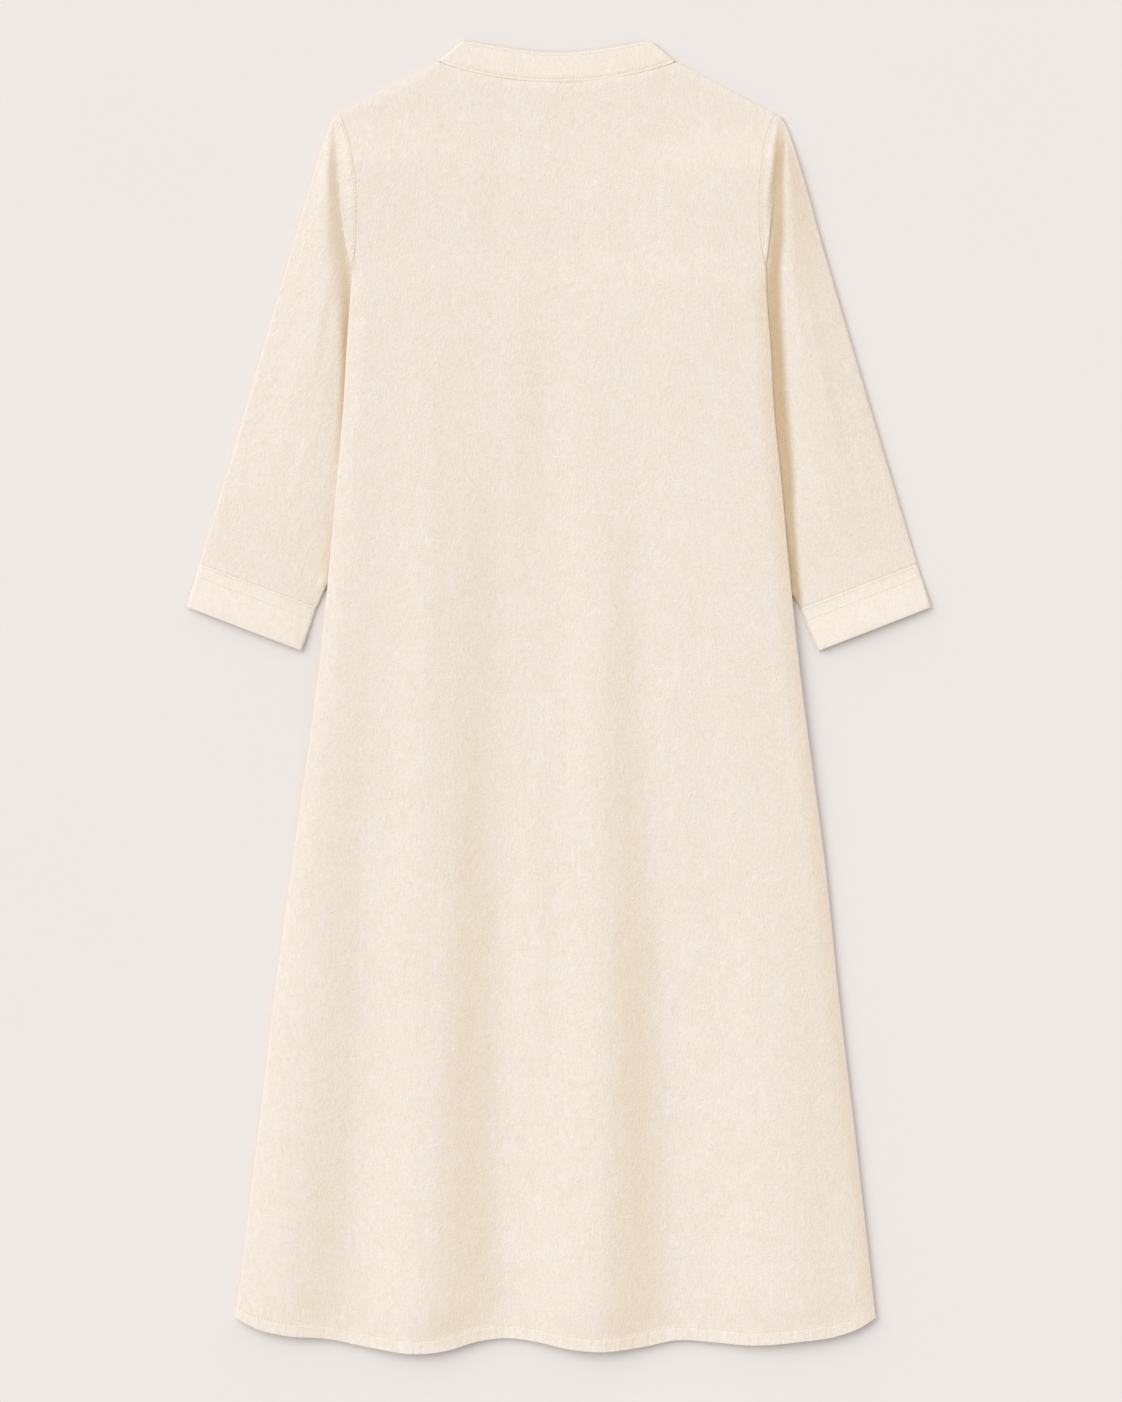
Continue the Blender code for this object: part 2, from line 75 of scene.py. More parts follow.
SHOULDER_POINT_DOWN = 65.6
NECK_CORNER_DOWN = 19.8
CROSSING_DOWN = 201.1
UNDERARM_DOWN = 260.0
HEM_CORNER_DOWN = 1125.1
ARMHOLE_SCOOP = 1.3
CROSSING_TURN = 3.0
CROSSING_EASE, CROSSING_EASED = 0.3, 30.0
UNDERARM_LOWERED = 0.8
BACK_NECK_DROP, BACK_NECK_ROUNDNESS = 17.6, 2.1
FRONT_NECK_DROP, FRONT_NECK_ROUNDNESS = 77.4, 2.4
COLLAR_TOP_DOWN = 0.65
COLLAR_TOP_DROP, COLLAR_TOP_ROUNDNESS = 11.0, 1.7
FRONT_COLLAR_TOP_DROP, FRONT_COLLAR_TOP_ROUNDNESS = 71.0, 2.2
SLIT_HALF = 1.0
FRONT_SLIT_END_DOWN = 250.0
FRONT_HEM_SHORTER = 0.6

# Levels above the board, and the runs down or across over which the layers change.
MIDDLE_LEVEL = 2.8
MIDDLE_SWELL, SWELL_GROWS, SWELL_ENDS = 2.2, (60.0, 150.0), (520.0, 860.0)
SETTLE_START, SETTLE_END = 8.0, 140.0
EDGE_CROWN, EDGE_CROWN_WIDTH, CROWN_STARTS = 1.7, 16.0, (180.0, 225.0)
LAYERS_OPEN = (66.0, 118.0)
GUSSET_CLOSES = (500.0, 760.0)
SIDE_SEAM_CLOSES = (268.0, 300.0)
SIDE_SEAM_RAMP = 8.0
FOLD_WITHIN_SLEEVE = 1.5
FULL_TURN_TUCK = 3.0
SLEEVE_COVERED = 1.0
SLEEVE_DROP, SLEEVE_DROP_MOST = 14.0, 0.8
SLEEVE_PUFF, PUFF_STARTS = 1.6, (74.0, 104.0)
SLEEVE_CAP_PUFF, CAP_ENDS = 0.6, (100.0, 240.0)
SLEEVE_RISE, SLEEVE_RISE_MOST, SLEEVE_FALL = 30.0, 0.6, 0.35
SLEEVE_EDGE_LOFT, EDGE_LOFTS = 1.5, (80.0, 120.0)
SLEEVE_CROWN, SLEEVE_CROWN_WIDTH = 0.8, 12.0
SLEEVE_END_LEVEL = 2.45
SLEEVE_LEAVES = (-4.0, 0.5)
LEAST_ROOM, NEAR_ROOM, ROOM_TO_FALL = 0.5, 24.0, (4.0, 48.0)
SOFT_VALLEY = (128.0, 172.0)
VALLEY_RUN_OUT = (-2.0, 11.0)
CUFF_PUFF, CUFF_SQUARENESS = 1.7, 2.6
CUFF_LIFT, CUFF_LIFTS = 2.2, (0.1, 1.0)
CUFF_FLATTENS = (3.0, 95.0)
CUFF_DEPTH = 40.0
HEM_SETTLES, HEM_SETTLE_WIDTH = 0.42, 38.0
HEM_TURN, HEM_TURN_HIGH, HEM_TURN_BLENDS = 11.5, 0.4, (-1.2, 1.0)


def table(columns, rows):
    """A dictionary of columns, by name, from rows of numbers."""
    return dict(zip(columns.split(), np.array(rows, float).T))


# The tucked edge that shows, first of the armhole strip and then of the body.
SIDE_FOLD = table("down left right", [
    (72.6, 199.3, 196.2), (84.0, 197.6, 195.4), (136.8, 192.6, 190.3), (179.1, 186.9, 185.7),
    (201.1, 181.8, 183.5), (232.8, 183.3, 184.2), (268.8, 185.8, 187.2), (317.2, 188.5, 189.6),
    (396.4, 195.2, 197.3), (463.3, 201.2, 203.3), (564.5, 211.4, 214.0), (634.0, 220.8, 223.1),
    (726.4, 234.0, 235.4), (845.2, 249.8, 247.7), (964.0, 263.9, 261.8), (1125.1, 283.7, 279.8),
])
# The armhole seam on the side that faces up, until it crosses the fold.
ARMHOLE = table("down left right", [
    (65.6, 191.8, 190.5), (85.8, 184.8, 182.6), (107.8, 180.4, 179.5), (128.9, 177.8, 177.3),
    (150.9, 176.9, 176.4), (172.0, 177.6, 177.6), (201.1, 179.95, 181.65),
])
SLEEVE_OUTER = table("down left right", [
    (67.3, 196.2, 196.4), (72.6, 199.2, 199.4), (77.9, 201.4, 201.8), (106.0, 210.8, 211.4),
    (185.2, 234.5, 234.2), (264.4, 257.4, 257.4), (343.6, 280.3, 280.9), (461.1, 315.5, 316.2),
])
SLEEVE_INNER = table("down left right", [
    (260.0, 125.0, 126.4), (285.0, 136.0, 137.4), (317.2, 144.6, 145.6), (378.8, 160.2, 161.2),
    (440.4, 183.0, 184.0), (479.0, 202.4, 200.0), (488.0, 206.7, 205.3), (499.9, 212.1, 213.0),
])
# How far the cloth is tucked in behind its side fold.
TUCK = table("down depth", [
    (92.0, 0.0), (104.0, 9.0), (141.2, 20.2), (201.1, 33.4), (229.2, 43.1), (260.0, 59.8),
    (317.2, 56.3), (396.4, 49.3), (486.2, 40.5), (634.0, 29.9), (845.2, 19.4), (1021.2, 12.3),
    (1125.1, 8.8),
])
HEM = table("across down", [
    (-284.7, 1125.1), (-270.0, 1133.0), (-244.0, 1139.8), (-205.0, 1143.0), (-165.0, 1151.0),
    (-128.0, 1156.2), (-99.0, 1153.3), (-72.0, 1145.4), (-48.0, 1142.4), (-19.0, 1145.8),
    (7.0, 1151.7), (38.0, 1154.5), (73.0, 1150.3), (106.0, 1144.2), (139.0, 1146.2),
    (170.0, 1148.7), (218.0, 1145.0), (245.0, 1141.0), (271.0, 1131.0), (279.8, 1125.1),
])
# Soft folds of the back, each from where it starts down to the hem.
FOLDS = (
    dict(start=320.0, across_start=-176.0, across_hem=-242.0, left=42.0, right=52.0, height=2.6),
    dict(start=250.0, across_start=-98.0, across_hem=-117.0, left=70.0, right=73.0, height=6.8),
    dict(start=400.0, across_start=24.0, across_hem=37.0, left=85.0, right=70.0, height=7.5),
    dict(start=480.0, across_start=160.0, across_hem=204.0, left=97.0, right=76.0, height=4.5),
)
CUFF_CORNERS = {
    "left": dict(outer_seam=(315.5, 461.1), inner_seam=(212.1, 499.9),
                 outer_end=(326.8, 499.4), inner_end=(225.3, 538.1)),
    "right": dict(outer_seam=(316.2, 461.1), inner_seam=(213.0, 500.9),
                  outer_end=(328.2, 499.6), inner_end=(228.6, 538.3)),
}
# The painted warm shade on a sleeve beside the body, where the body's edge shades it, by side:
# how deep it is, how far beyond the fold it is at its deepest and how wide it is from there.
TUCKED_SHADE = table("down left left_from left_wide right right_from right_wide", [
    (78.0, 0.0, 1.0, 6.0, 0.2, 0.5, 5.0), (97.0, 0.15, 1.5, 7.0, 0.80, 0.5, 7.0),
    (124.0, 0.26, 2.0, 9.0, 0.80, 0.5, 9.5), (150.0, 0.30, 2.5, 12.0, 0.80, 2.0, 11.0),
    (176.0, 0.44, 3.5, 15.0, 0.84, 4.0, 12.0), (203.0, 0.54, 5.5, 15.0, 0.93, 4.0, 12.0),
    (229.0, 0.72, 2.0, 15.0, 0.95, 3.0, 13.5), (256.0, 1.0, 0.5, 10.5, 1.0, 2.6, 13.0),
    (282.0, 1.0, 0.0, 8.5, 1.0, 2.6, 12.5), (308.0, 0.88, 0.0, 7.5, 1.0, 2.4, 14.0),
    (335.0, 0.60, 0.0, 7.5, 1.0, 2.4, 14.0), (361.0, 0.36, 0.0, 7.5, 1.0, 2.4, 13.6),
    (388.0, 0.06, 0.0, 8.0, 1.0, 2.0, 13.0), (414.0, 0.06, 0.0, 9.0, 0.95, 2.0, 10.0),
    (446.0, 0.25, 0.0, 9.0, 0.90, 2.0, 9.2), (474.0, 0.55, 0.0, 9.0, 0.85, 2.0, 8.6),
    (500.0, 0.10, 0.0, 9.0, 0.80, 2.0, 8.0),
])
# The sleeve's first row, which carries the shoulder's slope on to the outer edge.
SLEEVE_TOP = {
    "left": ((191.9, 66.0), (196.8, 68.8)),
    "right": ((190.6, 66.0), (196.6, 68.8)),
}

# Soft ridges given one by one on the body: each runs through three places, "high" above the cloth
# and "wide" from its crest to its foot. A negative height is a trough.
BODY_CREASES = table("x0 down0 x1 down1 x2 down2 wide high", [
    (-166, 230, -194, 560, -226, 920, 34, 1.3),
    (-106, 240, -98, 560, -104, 930, 46, 1.3),
    (-116, 150, -120, 480, -136, 880, 27, 1.2),
    (26, 180, 36, 600, 42, 1000, 44, 2.0),
    (150, 250, 166, 560, 196, 930, 44, 0.8),
    (96, 420, 112, 700, 124, 960, 30, 0.7),
    (-30, 150, -36, 330, -28, 560, 30, 0.5),
    (90, 110, 100, 260, 96, 430, 28, 0.4),
    (-150, 120, -128, 230, -122, 360, 22, 0.3),
    (152, 120, 134, 240, 130, 370, 22, 0.3),
    (-60, 52, -74, 120, -90, 200, 18, 0.3),
    (62, 52, 74, 120, 84, 190, 18, 0.3),
    (-20, 640, -24, 800, -16, 960, 24, 0.6),
])
CREASE_FADE = 0.7
SLEEVE_RELIEF, SLEEVE_CREASE_SHARE = {"left": 1.0, "right": 0.85}, 0.38
RELIEF_FADES = (0.0, 0.12)
# Ridges of a sleeve: "out" is the distance beyond the body's side fold.
SLEEVE_CREASES = table("out0 down0 out1 down1 out2 down2 wide high", [
    (12, 120, 22, 220, 34, 330, 9, 0.9),
    (30, 200, 44, 300, 62, 420, 11, 0.8),
    (16, 300, 30, 370, 52, 450, 8, 0.7),
    (60, 330, 74, 390, 84, 450, 9, 0.5),
    (46, 420, 60, 452, 70, 476, 8, 0.6),
    (20, 400, 34, 440, 44, 486, 8, 0.7),
])
# Uneven waves of each piece: their height, breadth across, length down and seed.
BODY_WAVES = ((0.55, 44.0, 190.0, 1.7), (0.15, 15.0, 45.0, 5.1), (0.10, 10.0, 20.0, 9.4))
SLEEVE_WAVES = {"left": ((0.20, 26.0, 70.0, 2.3), (0.09, 9.0, 24.0, 5.3)),
                "right": ((0.20, 26.0, 70.0, 7.9), (0.09, 9.0, 24.0, 10.9))}
CUFF_WAVES = {"left": ((0.16, 14.0, 30.0, 4.1),), "right": ((0.16, 14.0, 30.0, 8.8),)}
COLLAR_WAVES = ((0.22, 13.0, 15.0, 3.3),)

COLLAR_LOW = COLLAR_WALL / 2
COLLAR_HIGH = COLLAR_LOW + COLLAR_WALL + SEAM_GAP
COLLAR_INSET = COLLAR_WALL + SEAM_GAP / 2
COLLAR_HEIGHT = 26.0
COLLAR_CORNER, COLLAR_CORNER_BANDS, COLLAR_CORNER_SHARPNESS = 1.8, (0.8, 1.0), 14
COLLAR_FOLD_SHARE = 0.999
# How the collar sinks to its seam and its top edge, the cord of its seam and its stitch grooves.
SEAM_SINK, SEAM_SINK_ENDS = 0.32, (0.5, 6.0)
TOP_SINK, TOP_SINK_ENDS = 0.35, (0.0, 5.0)
SEAM_CORD, SEAM_CORD_AT, SEAM_CORD_WIDE = 0.12, 1.2, 0.9
SEAM_GROOVE, TOP_GROOVE, GROOVE_WIDE = 0.08, 0.05, 0.8

# ---------------------------------------------------------------- how finely it is sampled


def spaced(start, end, step):
    """Even places from start to end, about a step apart, with both ends."""
    return list(np.linspace(start, end, max(round((end - start) / step), 1) + 1))


ARMHOLE_ROWS = tuple(spaced(71.0, 191.0, 4.0) + [CROSSING_DOWN]
                     + spaced(209.0, UNDERARM_DOWN, 4.0))
BODY_ROWS = tuple(spaced(264.0, 1110.0, 5.0) + spaced(1112.6, HEM_CORNER_DOWN, 1.25))
SLEEVE_ROW_SHARES = np.array(spaced(3.0, 240.0, 3.0)) / 240.0
BACK_COLUMNS = np.array([0.0, 0.003, 0.007] + spaced(0.012, 0.988, 0.0088) + [0.993, 0.997, 1.0])
FRONT_NECK_SHARES = np.linspace(0.0, 1.0, 29)
FRONT_SIDE_SHARES = np.linspace(0.0, 1.0, 17)
BACK_COLLAR_SHARES = 1 - np.linspace(1.0, 0.0, 49) ** 1.2
COLLAR_BANDS = (0.0, 0.02, 0.04, 0.06, 0.08, 0.1, 0.12, 0.15, 0.2, 0.3, 0.4, 0.5, 0.6, 0.7,
                0.8, 0.85, 0.88, 0.9, 0.92, 0.95, 0.98, 1.0)
CUFF_SHARES = (0.0, 0.04, 0.08, 0.12, 0.19, 0.25, 0.29, 0.33, 0.42, 0.55, 0.7, 0.85, 0.94, 1.0)
CUFF_COLUMNS = 41
NEAR_OFFSETS = (1.0, 2.0, 3.5, 5.0, 6.5, 8.0, 9.75, 11.5, 13.25, 15.0)
SPREAD_SHARES = np.linspace(0.0, 1.0, 31)[1:]
STRIP_SHARES = (0.0, 0.04, 0.08, 0.14, 0.24, 0.36, 0.48, 0.6, 0.72, 0.84, 0.92, 1.0)
VALLEY_SLOPE = {"left": (0.3, 1.0), "right": (0.62, 1.0)}
TURN_STEPS = 7
STRIP_POINTS = 5
CROSSING_TRIES = 12
PATH_SAMPLES = 160
ROW_TOLERANCE = 0.1
MEETING_POINTS = 0.01
CROSSING_GAP_ANGLE = 0.75 * SEAM_GAP / FOLD_RADIUS
TUCKED_RELIEF = 0.45
EDGE_SOFTNESS, SHARP_EDGE, SMOOTH_EDGE = 0.22, 60.0, 50.0

# ---------------------------------------------------------------- thread and finish

# A stitch's rings: their share of its length, and their lift and size in its radius.
STITCH_PROFILE = ((0.0, -0.9, 0.55), (0.16, 0.15, 0.95), (0.5, 0.35, 1.0),
                  (0.84, 0.15, 0.95), (1.0, -0.9, 0.55))
STITCH_SIDES = 6
UNDER_THREAD_LEVEL = 0.12
BAND_STITCH_INSET = 2.7
ARMHOLE_STITCH_OFFSET, ARMHOLE_STITCH_STARTS, ARMHOLE_STITCH_STOPS = 2.4, 8.0, 12.0
HEM_STITCH_INSET, HEM_STITCH_IN_FOLD = 2.0, 1.6
CUFF_STITCH_SHARES, CUFF_STITCH_ENDS = (0.055, 0.29), (0.012, 0.988)

# Where cloth is doubled by the hem's turn and by seam allowances, and by how much.
HEM_DOUBLED_BLEND = 0.8
ALLOWANCE_ENDS = (7.0, 9.0)
BODY_ALLOWANCE, SLEEVE_ALLOWANCE = 0.5, 0.8
ALLOWANCE_WITHIN = 1.0

# The painted warm shade of cloth that falls away from the key light: towards where, over which
# slopes and how much.
SHADE_DIRECTION = (0.85, -0.52, 0.0)
SHADE_RANGE = (0.015, 0.14)
SHADE_MOST = 0.5
# The painted shade of a sleeve beside the body, and the painted thin line of the armhole seam.
SHADE_RUN_IN, SHADE_FLAT = 6.0, {"left": 0.0, "right": 0.36}
SEAM_SHADE, SEAM_SHADE_ENDS = {"left": 0.32, "right": 0.14}, (0.3, 1.1)

# Where each cloth starts on the endless weave, so that no two look alike.
UV_STARTS = {
    "back_panel": (0.0, 0.0), "front_panel": (0.8, 0.3), "collar_band": (3.1, 0.2),
    "sleeve_left_cloth": (-1.1, 0.1), "sleeve_right_cloth": (1.9, 0.6),
    "cuff_left_band": (4.2, 0.4), "cuff_right_band": (5.3, 0.9),
}
THREAD_PITCH = 0.62
BUMP_DEPTHS = {"body_cotton": 0.40, "sleeve_cotton": 0.43, "band_cotton": 0.30}
HEM_PUCKERS, BAND_PUCKERS = 2.6, 0.7
# How strongly the cloth's tone works on red, green and blue.
TONE_POWERS = (0.6, 1.0, 1.65)
# Each part of the gauze: frequencies per metre across, along and through, detail, roughness.
GAUZE_WAVES = {
    "warp": ((640.0, 210.0, 1.0), 2.0, 0.6), "weft": ((230.0, 620.0, 1.0), 2.0, 0.6),
    "crinkle": ((230.0, 105.0, 1.0), 2.0, 0.5), "cloud": ((105.0, 48.0, 4.0), 2.0, 0.5),
    "pucker": ((150.0, 14.0, 5.0), 1.0, 0.5), "crepe": ((170.0, 105.0, 2.0), 1.5, 0.5),
    "slub": ((470.0, 42.0, 3.0), 1.0, 0.5), "patches": ((26.0, 12.0, 1.0), 3.0, 0.55),
}
GAUZE_HEIGHT = {"warp": 1.03, "weft": 0.92, "crinkle": 0.34, "crepe": -0.13, "slub": 0.15,
                "weave": 0.06}
GAUZE_TONE = {"warp": 0.17, "weft": 0.12, "crinkle": 0.11, "cloud": 0.056, "patches": 0.050,
              "slub": 0.022, "crepe": -0.008}
CREPE_RAMP, SLUB_RAMP = (0.0, 0.09), (0.12, 0.26)
DRIFT_FREQUENCIES, DRIFT_REACH = (95.0, 40.0, 1.0), (0.007, 0.010, 0.0)
TWIST_FREQUENCY, TWIST_DARK, TWIST_DEPTH = 2600.0, 0.86, 0.05
BOARD_FREQUENCY, BOARD_DARK = 3.0, 0.985
FINISHES = {
    "cotton": {"Roughness": 0.92, "Specular IOR Level": 0.15, "Sheen Weight": 0.06,
               "Sheen Roughness": 0.6},
    "thread": {"Roughness": 0.7, "Specular IOR Level": 0.3},
    "board": {"Roughness": 0.95, "Specular IOR Level": 0.0},
}

BOARD_SIZE = 60.0
SENSOR = 36.0
CAMERA_CENTRE = (0.0026, -0.0033)
KEY_DIRECTION, KEY_SOFTNESS = (-0.78, 0.62, 0.95), 60.0
LIGHT_COLOUR = (1.0, 0.985, 0.97)
ROOM_COLOUR = (0.85, 0.81, 0.78)

# ---------------------------------------------------------------- soft relief of the cloth


def wander(x, y, across, along, seed):
    """Smooth noise from -1 to 1 with its own breadth across and length along the cloth."""
    return noise.noise(Vector((x / across, y / along, seed)))


def uneven(waves, x, y):
    """The height of a piece's own uneven waves at a place."""
    return sum(high * wander(x, y, across, along, seed) for high, across, along, seed in waves)


def crest(off, width):
    """A soft ridge's height, 1 on its crest."""
    return math.exp(-((off / width) ** 2))


def crease_height(creases, out, down):
    """The height of all the listed ridges at a place; each follows a curve through 3 points."""
    height = 0.0
    for x0, d0, x1, d1, x2, d2, wide, high in zip(*creases.values()):
        t = (down - d0) / (d2 - d0)
        if not 0.0 < t < 1.0:
            continue
        middle = (d1 - d0) / (d2 - d0)
        bow = x1 - mix(x0, x2, middle)
        line = mix(x0, x2, t) + bow * t * (1 - t) / (middle * (1 - middle))
        off = abs(out - line) / wide
        if off < 1.0:
            swell = math.sin(math.pi * t) ** CREASE_FADE
            height += high * swell * (1 + math.cos(math.pi * off)) / 2
    return height


def body_relief(across, down):
    """The body's ridges, its uneven waves and its turned hem, over its resting level."""
    cloth = bpy.context.scene.kurti_cloth
    waves = cloth.wave_height * uneven(BODY_WAVES, across, down)
    ridges = cloth.crease_height * crease_height(BODY_CREASES, across, down)
    return waves + ridges + hem_relief(across, down)


def hem_relief(across, down):
    """The hem's doubled turn stands a little proud below its stitch line."""
    above = read(HEM, "down", across, by="across") - down
    return HEM_TURN_HIGH * (1 - smooth(above - HEM_TURN, *HEM_TURN_BLENDS))


def sleeve_relief(side, beyond, down):
    """The sleeve's ridges and waves; beyond counts from the body's side fold."""
    cloth = bpy.context.scene.kurti_cloth
    waves = cloth.wave_height * uneven(SLEEVE_WAVES[side], beyond, down)
    ridges = cloth.crease_height * crease_height(SLEEVE_CREASES, beyond, down)
    return SLEEVE_RELIEF[side] * (waves + SLEEVE_CREASE_SHARE * ridges)


def share_of_relief(share):
    """Relief fades out at a sleeve's folded edges."""
    return smooth(min(share, 1 - share), *RELIEF_FADES)


def cuff_relief(side, half, share):
    """A cuff's faint waves, which fade out at its seam and its open end."""
    return uneven(CUFF_WAVES[side], half, share * CUFF_DEPTH) * math.sin(math.pi * share)


def collar_relief(across, band):
    """A cord-like ridge on the seam, a groove at each row of stitches and faint waves."""
    from_seam, from_top = band * COLLAR_HEIGHT, (1 - band) * COLLAR_HEIGHT
    sunk = SEAM_SINK * (1 - smooth(from_seam, *SEAM_SINK_ENDS))
    sunk += TOP_SINK * (1 - smooth(from_top, *TOP_SINK_ENDS))
    sunk += SEAM_GROOVE * crest(from_seam - BAND_STITCH_INSET, GROOVE_WIDE)
    sunk += TOP_GROOVE * crest(from_top - BAND_STITCH_INSET, GROOVE_WIDE)
    cord = SEAM_CORD * crest(from_seam - SEAM_CORD_AT, SEAM_CORD_WIDE)
    return cord - sunk + uneven(COLLAR_WAVES, across, from_seam) * math.sin(math.pi * band)


# ---------------------------------------------------------------- the layers, as in the cut


def read(values, column, at, by="down"):
    """A smooth curve through one column of a table, read at a place."""
    places, heights = values[by], values[column]
    slopes = np.gradient(heights, places)
    at = min(max(at, places[0]), places[-1])
    i = min(int(np.searchsorted(places, at, side="right")) - 1, len(places) - 2)
    step = places[i + 1] - places[i]
    t = (at - places[i]) / step
    rise = 3 * t**2 - 2 * t**3
    return (heights[i] * (1 - rise) + heights[i + 1] * rise
            + step * (slopes[i] * (t**3 - 2 * t**2 + t) + slopes[i + 1] * (t**3 - t**2)))


def mix(a, b, share):
    """The value that is a share of the way from a to b."""
    return a + (b - a) * share


def smooth(value, start=0.0, end=1.0):
    """0 before start, 1 after end, and an even S between them."""
    t = min(max((value - start) / (end - start), 0.0), 1.0)
    return t * t * (3 - 2 * t)


def drop(across, half_breadth, depth, roundness):
    """How far a neckline has dropped at a place across."""
    share = min(abs(across) / half_breadth, 1.0)
    return depth * (1 - share**roundness)


def neck_half(side):
    """The half-breadth of the neckline, at the collar's seam."""
    return {"left": 104.7, "right": 103.4}[side]


def collar_top_half(side):
    """The half-breadth of the collar's top edge."""
    return {"left": 83.6, "right": 81.0}[side]


def side_of(across):
    return "left" if across < 0 else "right"


def outward(side):
    """The sign of X on a side."""
    return -1.0 if side == "left" else 1.0


def side_fold(side, down):
    """The half-breadth of the tucked edge, which starts at the sleeve's own edge."""
    fold = read(SIDE_FOLD, side, down)
    if down < UNDERARM_DOWN:
        fold = min(fold, read(SLEEVE_OUTER, side, down) - FOLD_WITHIN_SLEEVE)
    return fold


def tuck_depth(down):
    return read(TUCK, "depth", down)


def open_layer(down):
    """The spacing of the tucked layers, which opens below the shoulder point."""
    return LAYER * smooth(down, *LAYERS_OPEN)


def sleeve_room(down):
    """The height that the two sleeve layers take between the returns."""
    return 2 * LAYER * (1 - smooth(down, *GUSSET_CLOSES))


def top_level(down):
    """The level of the back where it lies on all the layers of a tucked side."""
    if down < UNDERARM_DOWN:
        return FLOOR_LEVEL + LAYER + 4 * open_layer(down)
    return FLOOR_LEVEL + 3 * LAYER + sleeve_room(down)


def back_return_level(down):
    """The level of the back's turned-under side."""
    return top_level(down) - (open_layer(down) if down < UNDERARM_DOWN else LAYER)


def front_return_level(down):
    """The level of the front's turned-up side."""
    return FLOOR_LEVEL + (open_layer(down) if down < UNDERARM_DOWN else LAYER)


def fold_height(across, down):
    """The soft folds' height over the back's resting level."""
    height = 0.0
    for fold in FOLDS:
        grown = max(down - fold["start"], 0.0) / (LENGTH - fold["start"])
        ridge = mix(fold["across_start"], fold["across_hem"], grown)
        reach = fold["left"] if across < ridge else fold["right"]
        share = min(abs(across - ridge) / reach, 1.0)
        height += fold["height"] * smooth(grown) * (1 + math.cos(math.pi * share)) / 2
    above = read(HEM, "down", across, by="across") - down
    return height * (1 - HEM_SETTLES * (1 - smooth(above, 0.0, HEM_SETTLE_WIDTH)))


def back_level(across, down):
    """The back's height: on its tucked sides it lies high, and it settles to the middle."""
    side = side_of(across)
    valley = side_fold(side, down) - tuck_depth(down)
    settled = smooth(valley - abs(across), SETTLE_START, SETTLE_END)
    swell = MIDDLE_SWELL * smooth(down, *SWELL_GROWS) * (1 - smooth(down, *SWELL_ENDS))
    resting = mix(top_level(down), MIDDLE_LEVEL + swell, settled) + fold_height(across, down)
    crown = EDGE_CROWN * smooth(down, *CROWN_STARTS)
    resting += crown * edge_rise(panel_half(side, down) - abs(across), EDGE_CROWN_WIDTH)
    return resting + body_relief(across, down) * mix(TUCKED_RELIEF, 1.0, settled)


def cuff_lift(share):
    """How far the cuff has risen from the floor on its way to its open end."""
    return CUFF_LIFT * smooth(share, *CUFF_LIFTS)


def cuff_level(side, half, along, share):
    """The mid-level of a cuff's upper layer, at a share of its breadth and of its depth."""
    high = 1.5 * CUFF_WALL + SEAM_GAP
    return high + cuff_lift(share) + cuff_puff(along) + cuff_relief(side, half, share)


def cuff_puff(share):
    """How much a flattened tube stands up at a share of its breadth."""
    return CUFF_PUFF * (1 - min(abs(2 * share - 1), 1.0) ** CUFF_SQUARENESS)


def edge_rise(inside, width):
    """A folded edge's roundness: 0 at the edge, rising ever more slowly to 1 further in."""
    return 1 - (1 - min(max(inside / width, 0.0), 1.0)) ** 2


def front_level(_across, _down):
    """The front lies flat on the board."""
    return FLOOR_LEVEL


def shoulder_or_neck(across, neck_drop, neck_roundness):
    """The top line of a panel: neckline in the middle, shoulder seam on each side."""
    side = side_of(across)
    neck, point = neck_half(side), ARMHOLE[side][0]
    if abs(across) <= neck:
        return NECK_CORNER_DOWN + SEAM_LINE + drop(across, neck, neck_drop, neck_roundness)
    return mix(NECK_CORNER_DOWN + SEAM_LINE, SHOULDER_POINT_DOWN,
               (abs(across) - neck) / (point - neck))


def back_top(across):
    """The back's top line."""
    return shoulder_or_neck(across, BACK_NECK_DROP, BACK_NECK_ROUNDNESS)


def front_top(across):
    """The front's top line, with the slit in its middle."""
    if abs(across) < SEAM_GAP:
        return FRONT_SLIT_END_DOWN
    return shoulder_or_neck(across, FRONT_NECK_DROP, FRONT_NECK_ROUNDNESS)


def at_crossing(down):
    """Whether this is the row where the armhole seam crosses the side fold."""
    return abs(down - CROSSING_DOWN) < ROW_TOLERANCE


def turns_under(down):
    """Whether a panel reaches its side fold, as it does from that crossing down."""
    return down > CROSSING_DOWN - ROW_TOLERANCE


def panel_half(side, down):
    """Where a panel's main layer ends: at the armhole seam, or where it turns under."""
    if turns_under(down):
        return side_fold(side, down) - FOLD_INSET
    return read(ARMHOLE, side, down) - SEAM_LINE / 2


def seam_inset(down):
    """How far behind the side fold the armhole seam lies, on its scoop to the underarm."""
    share = (down - CROSSING_DOWN) / (UNDERARM_DOWN - CROSSING_DOWN)
    whole = tuck_depth(UNDERARM_DOWN) - FOLD_INSET
    return mix(FOLD_INSET, whole, max(share, 0.0) ** ARMHOLE_SCOOP)


def on_turn(across, bulge, first, last, angle):
    """A point part of the way round a fold from one level to another."""
    return across + bulge * math.sin(angle), mix(first, last, (1 - math.cos(angle)) / 2)


def turn(across, bulge, first, last, steps=TURN_STEPS, start=0.0, end=math.pi):
    """The points between the ends of a fold from one level to another."""
    angles = np.linspace(start, end, steps + 1)[1:-1]
    return [on_turn(across, bulge, first, last, angle) for angle in angles]


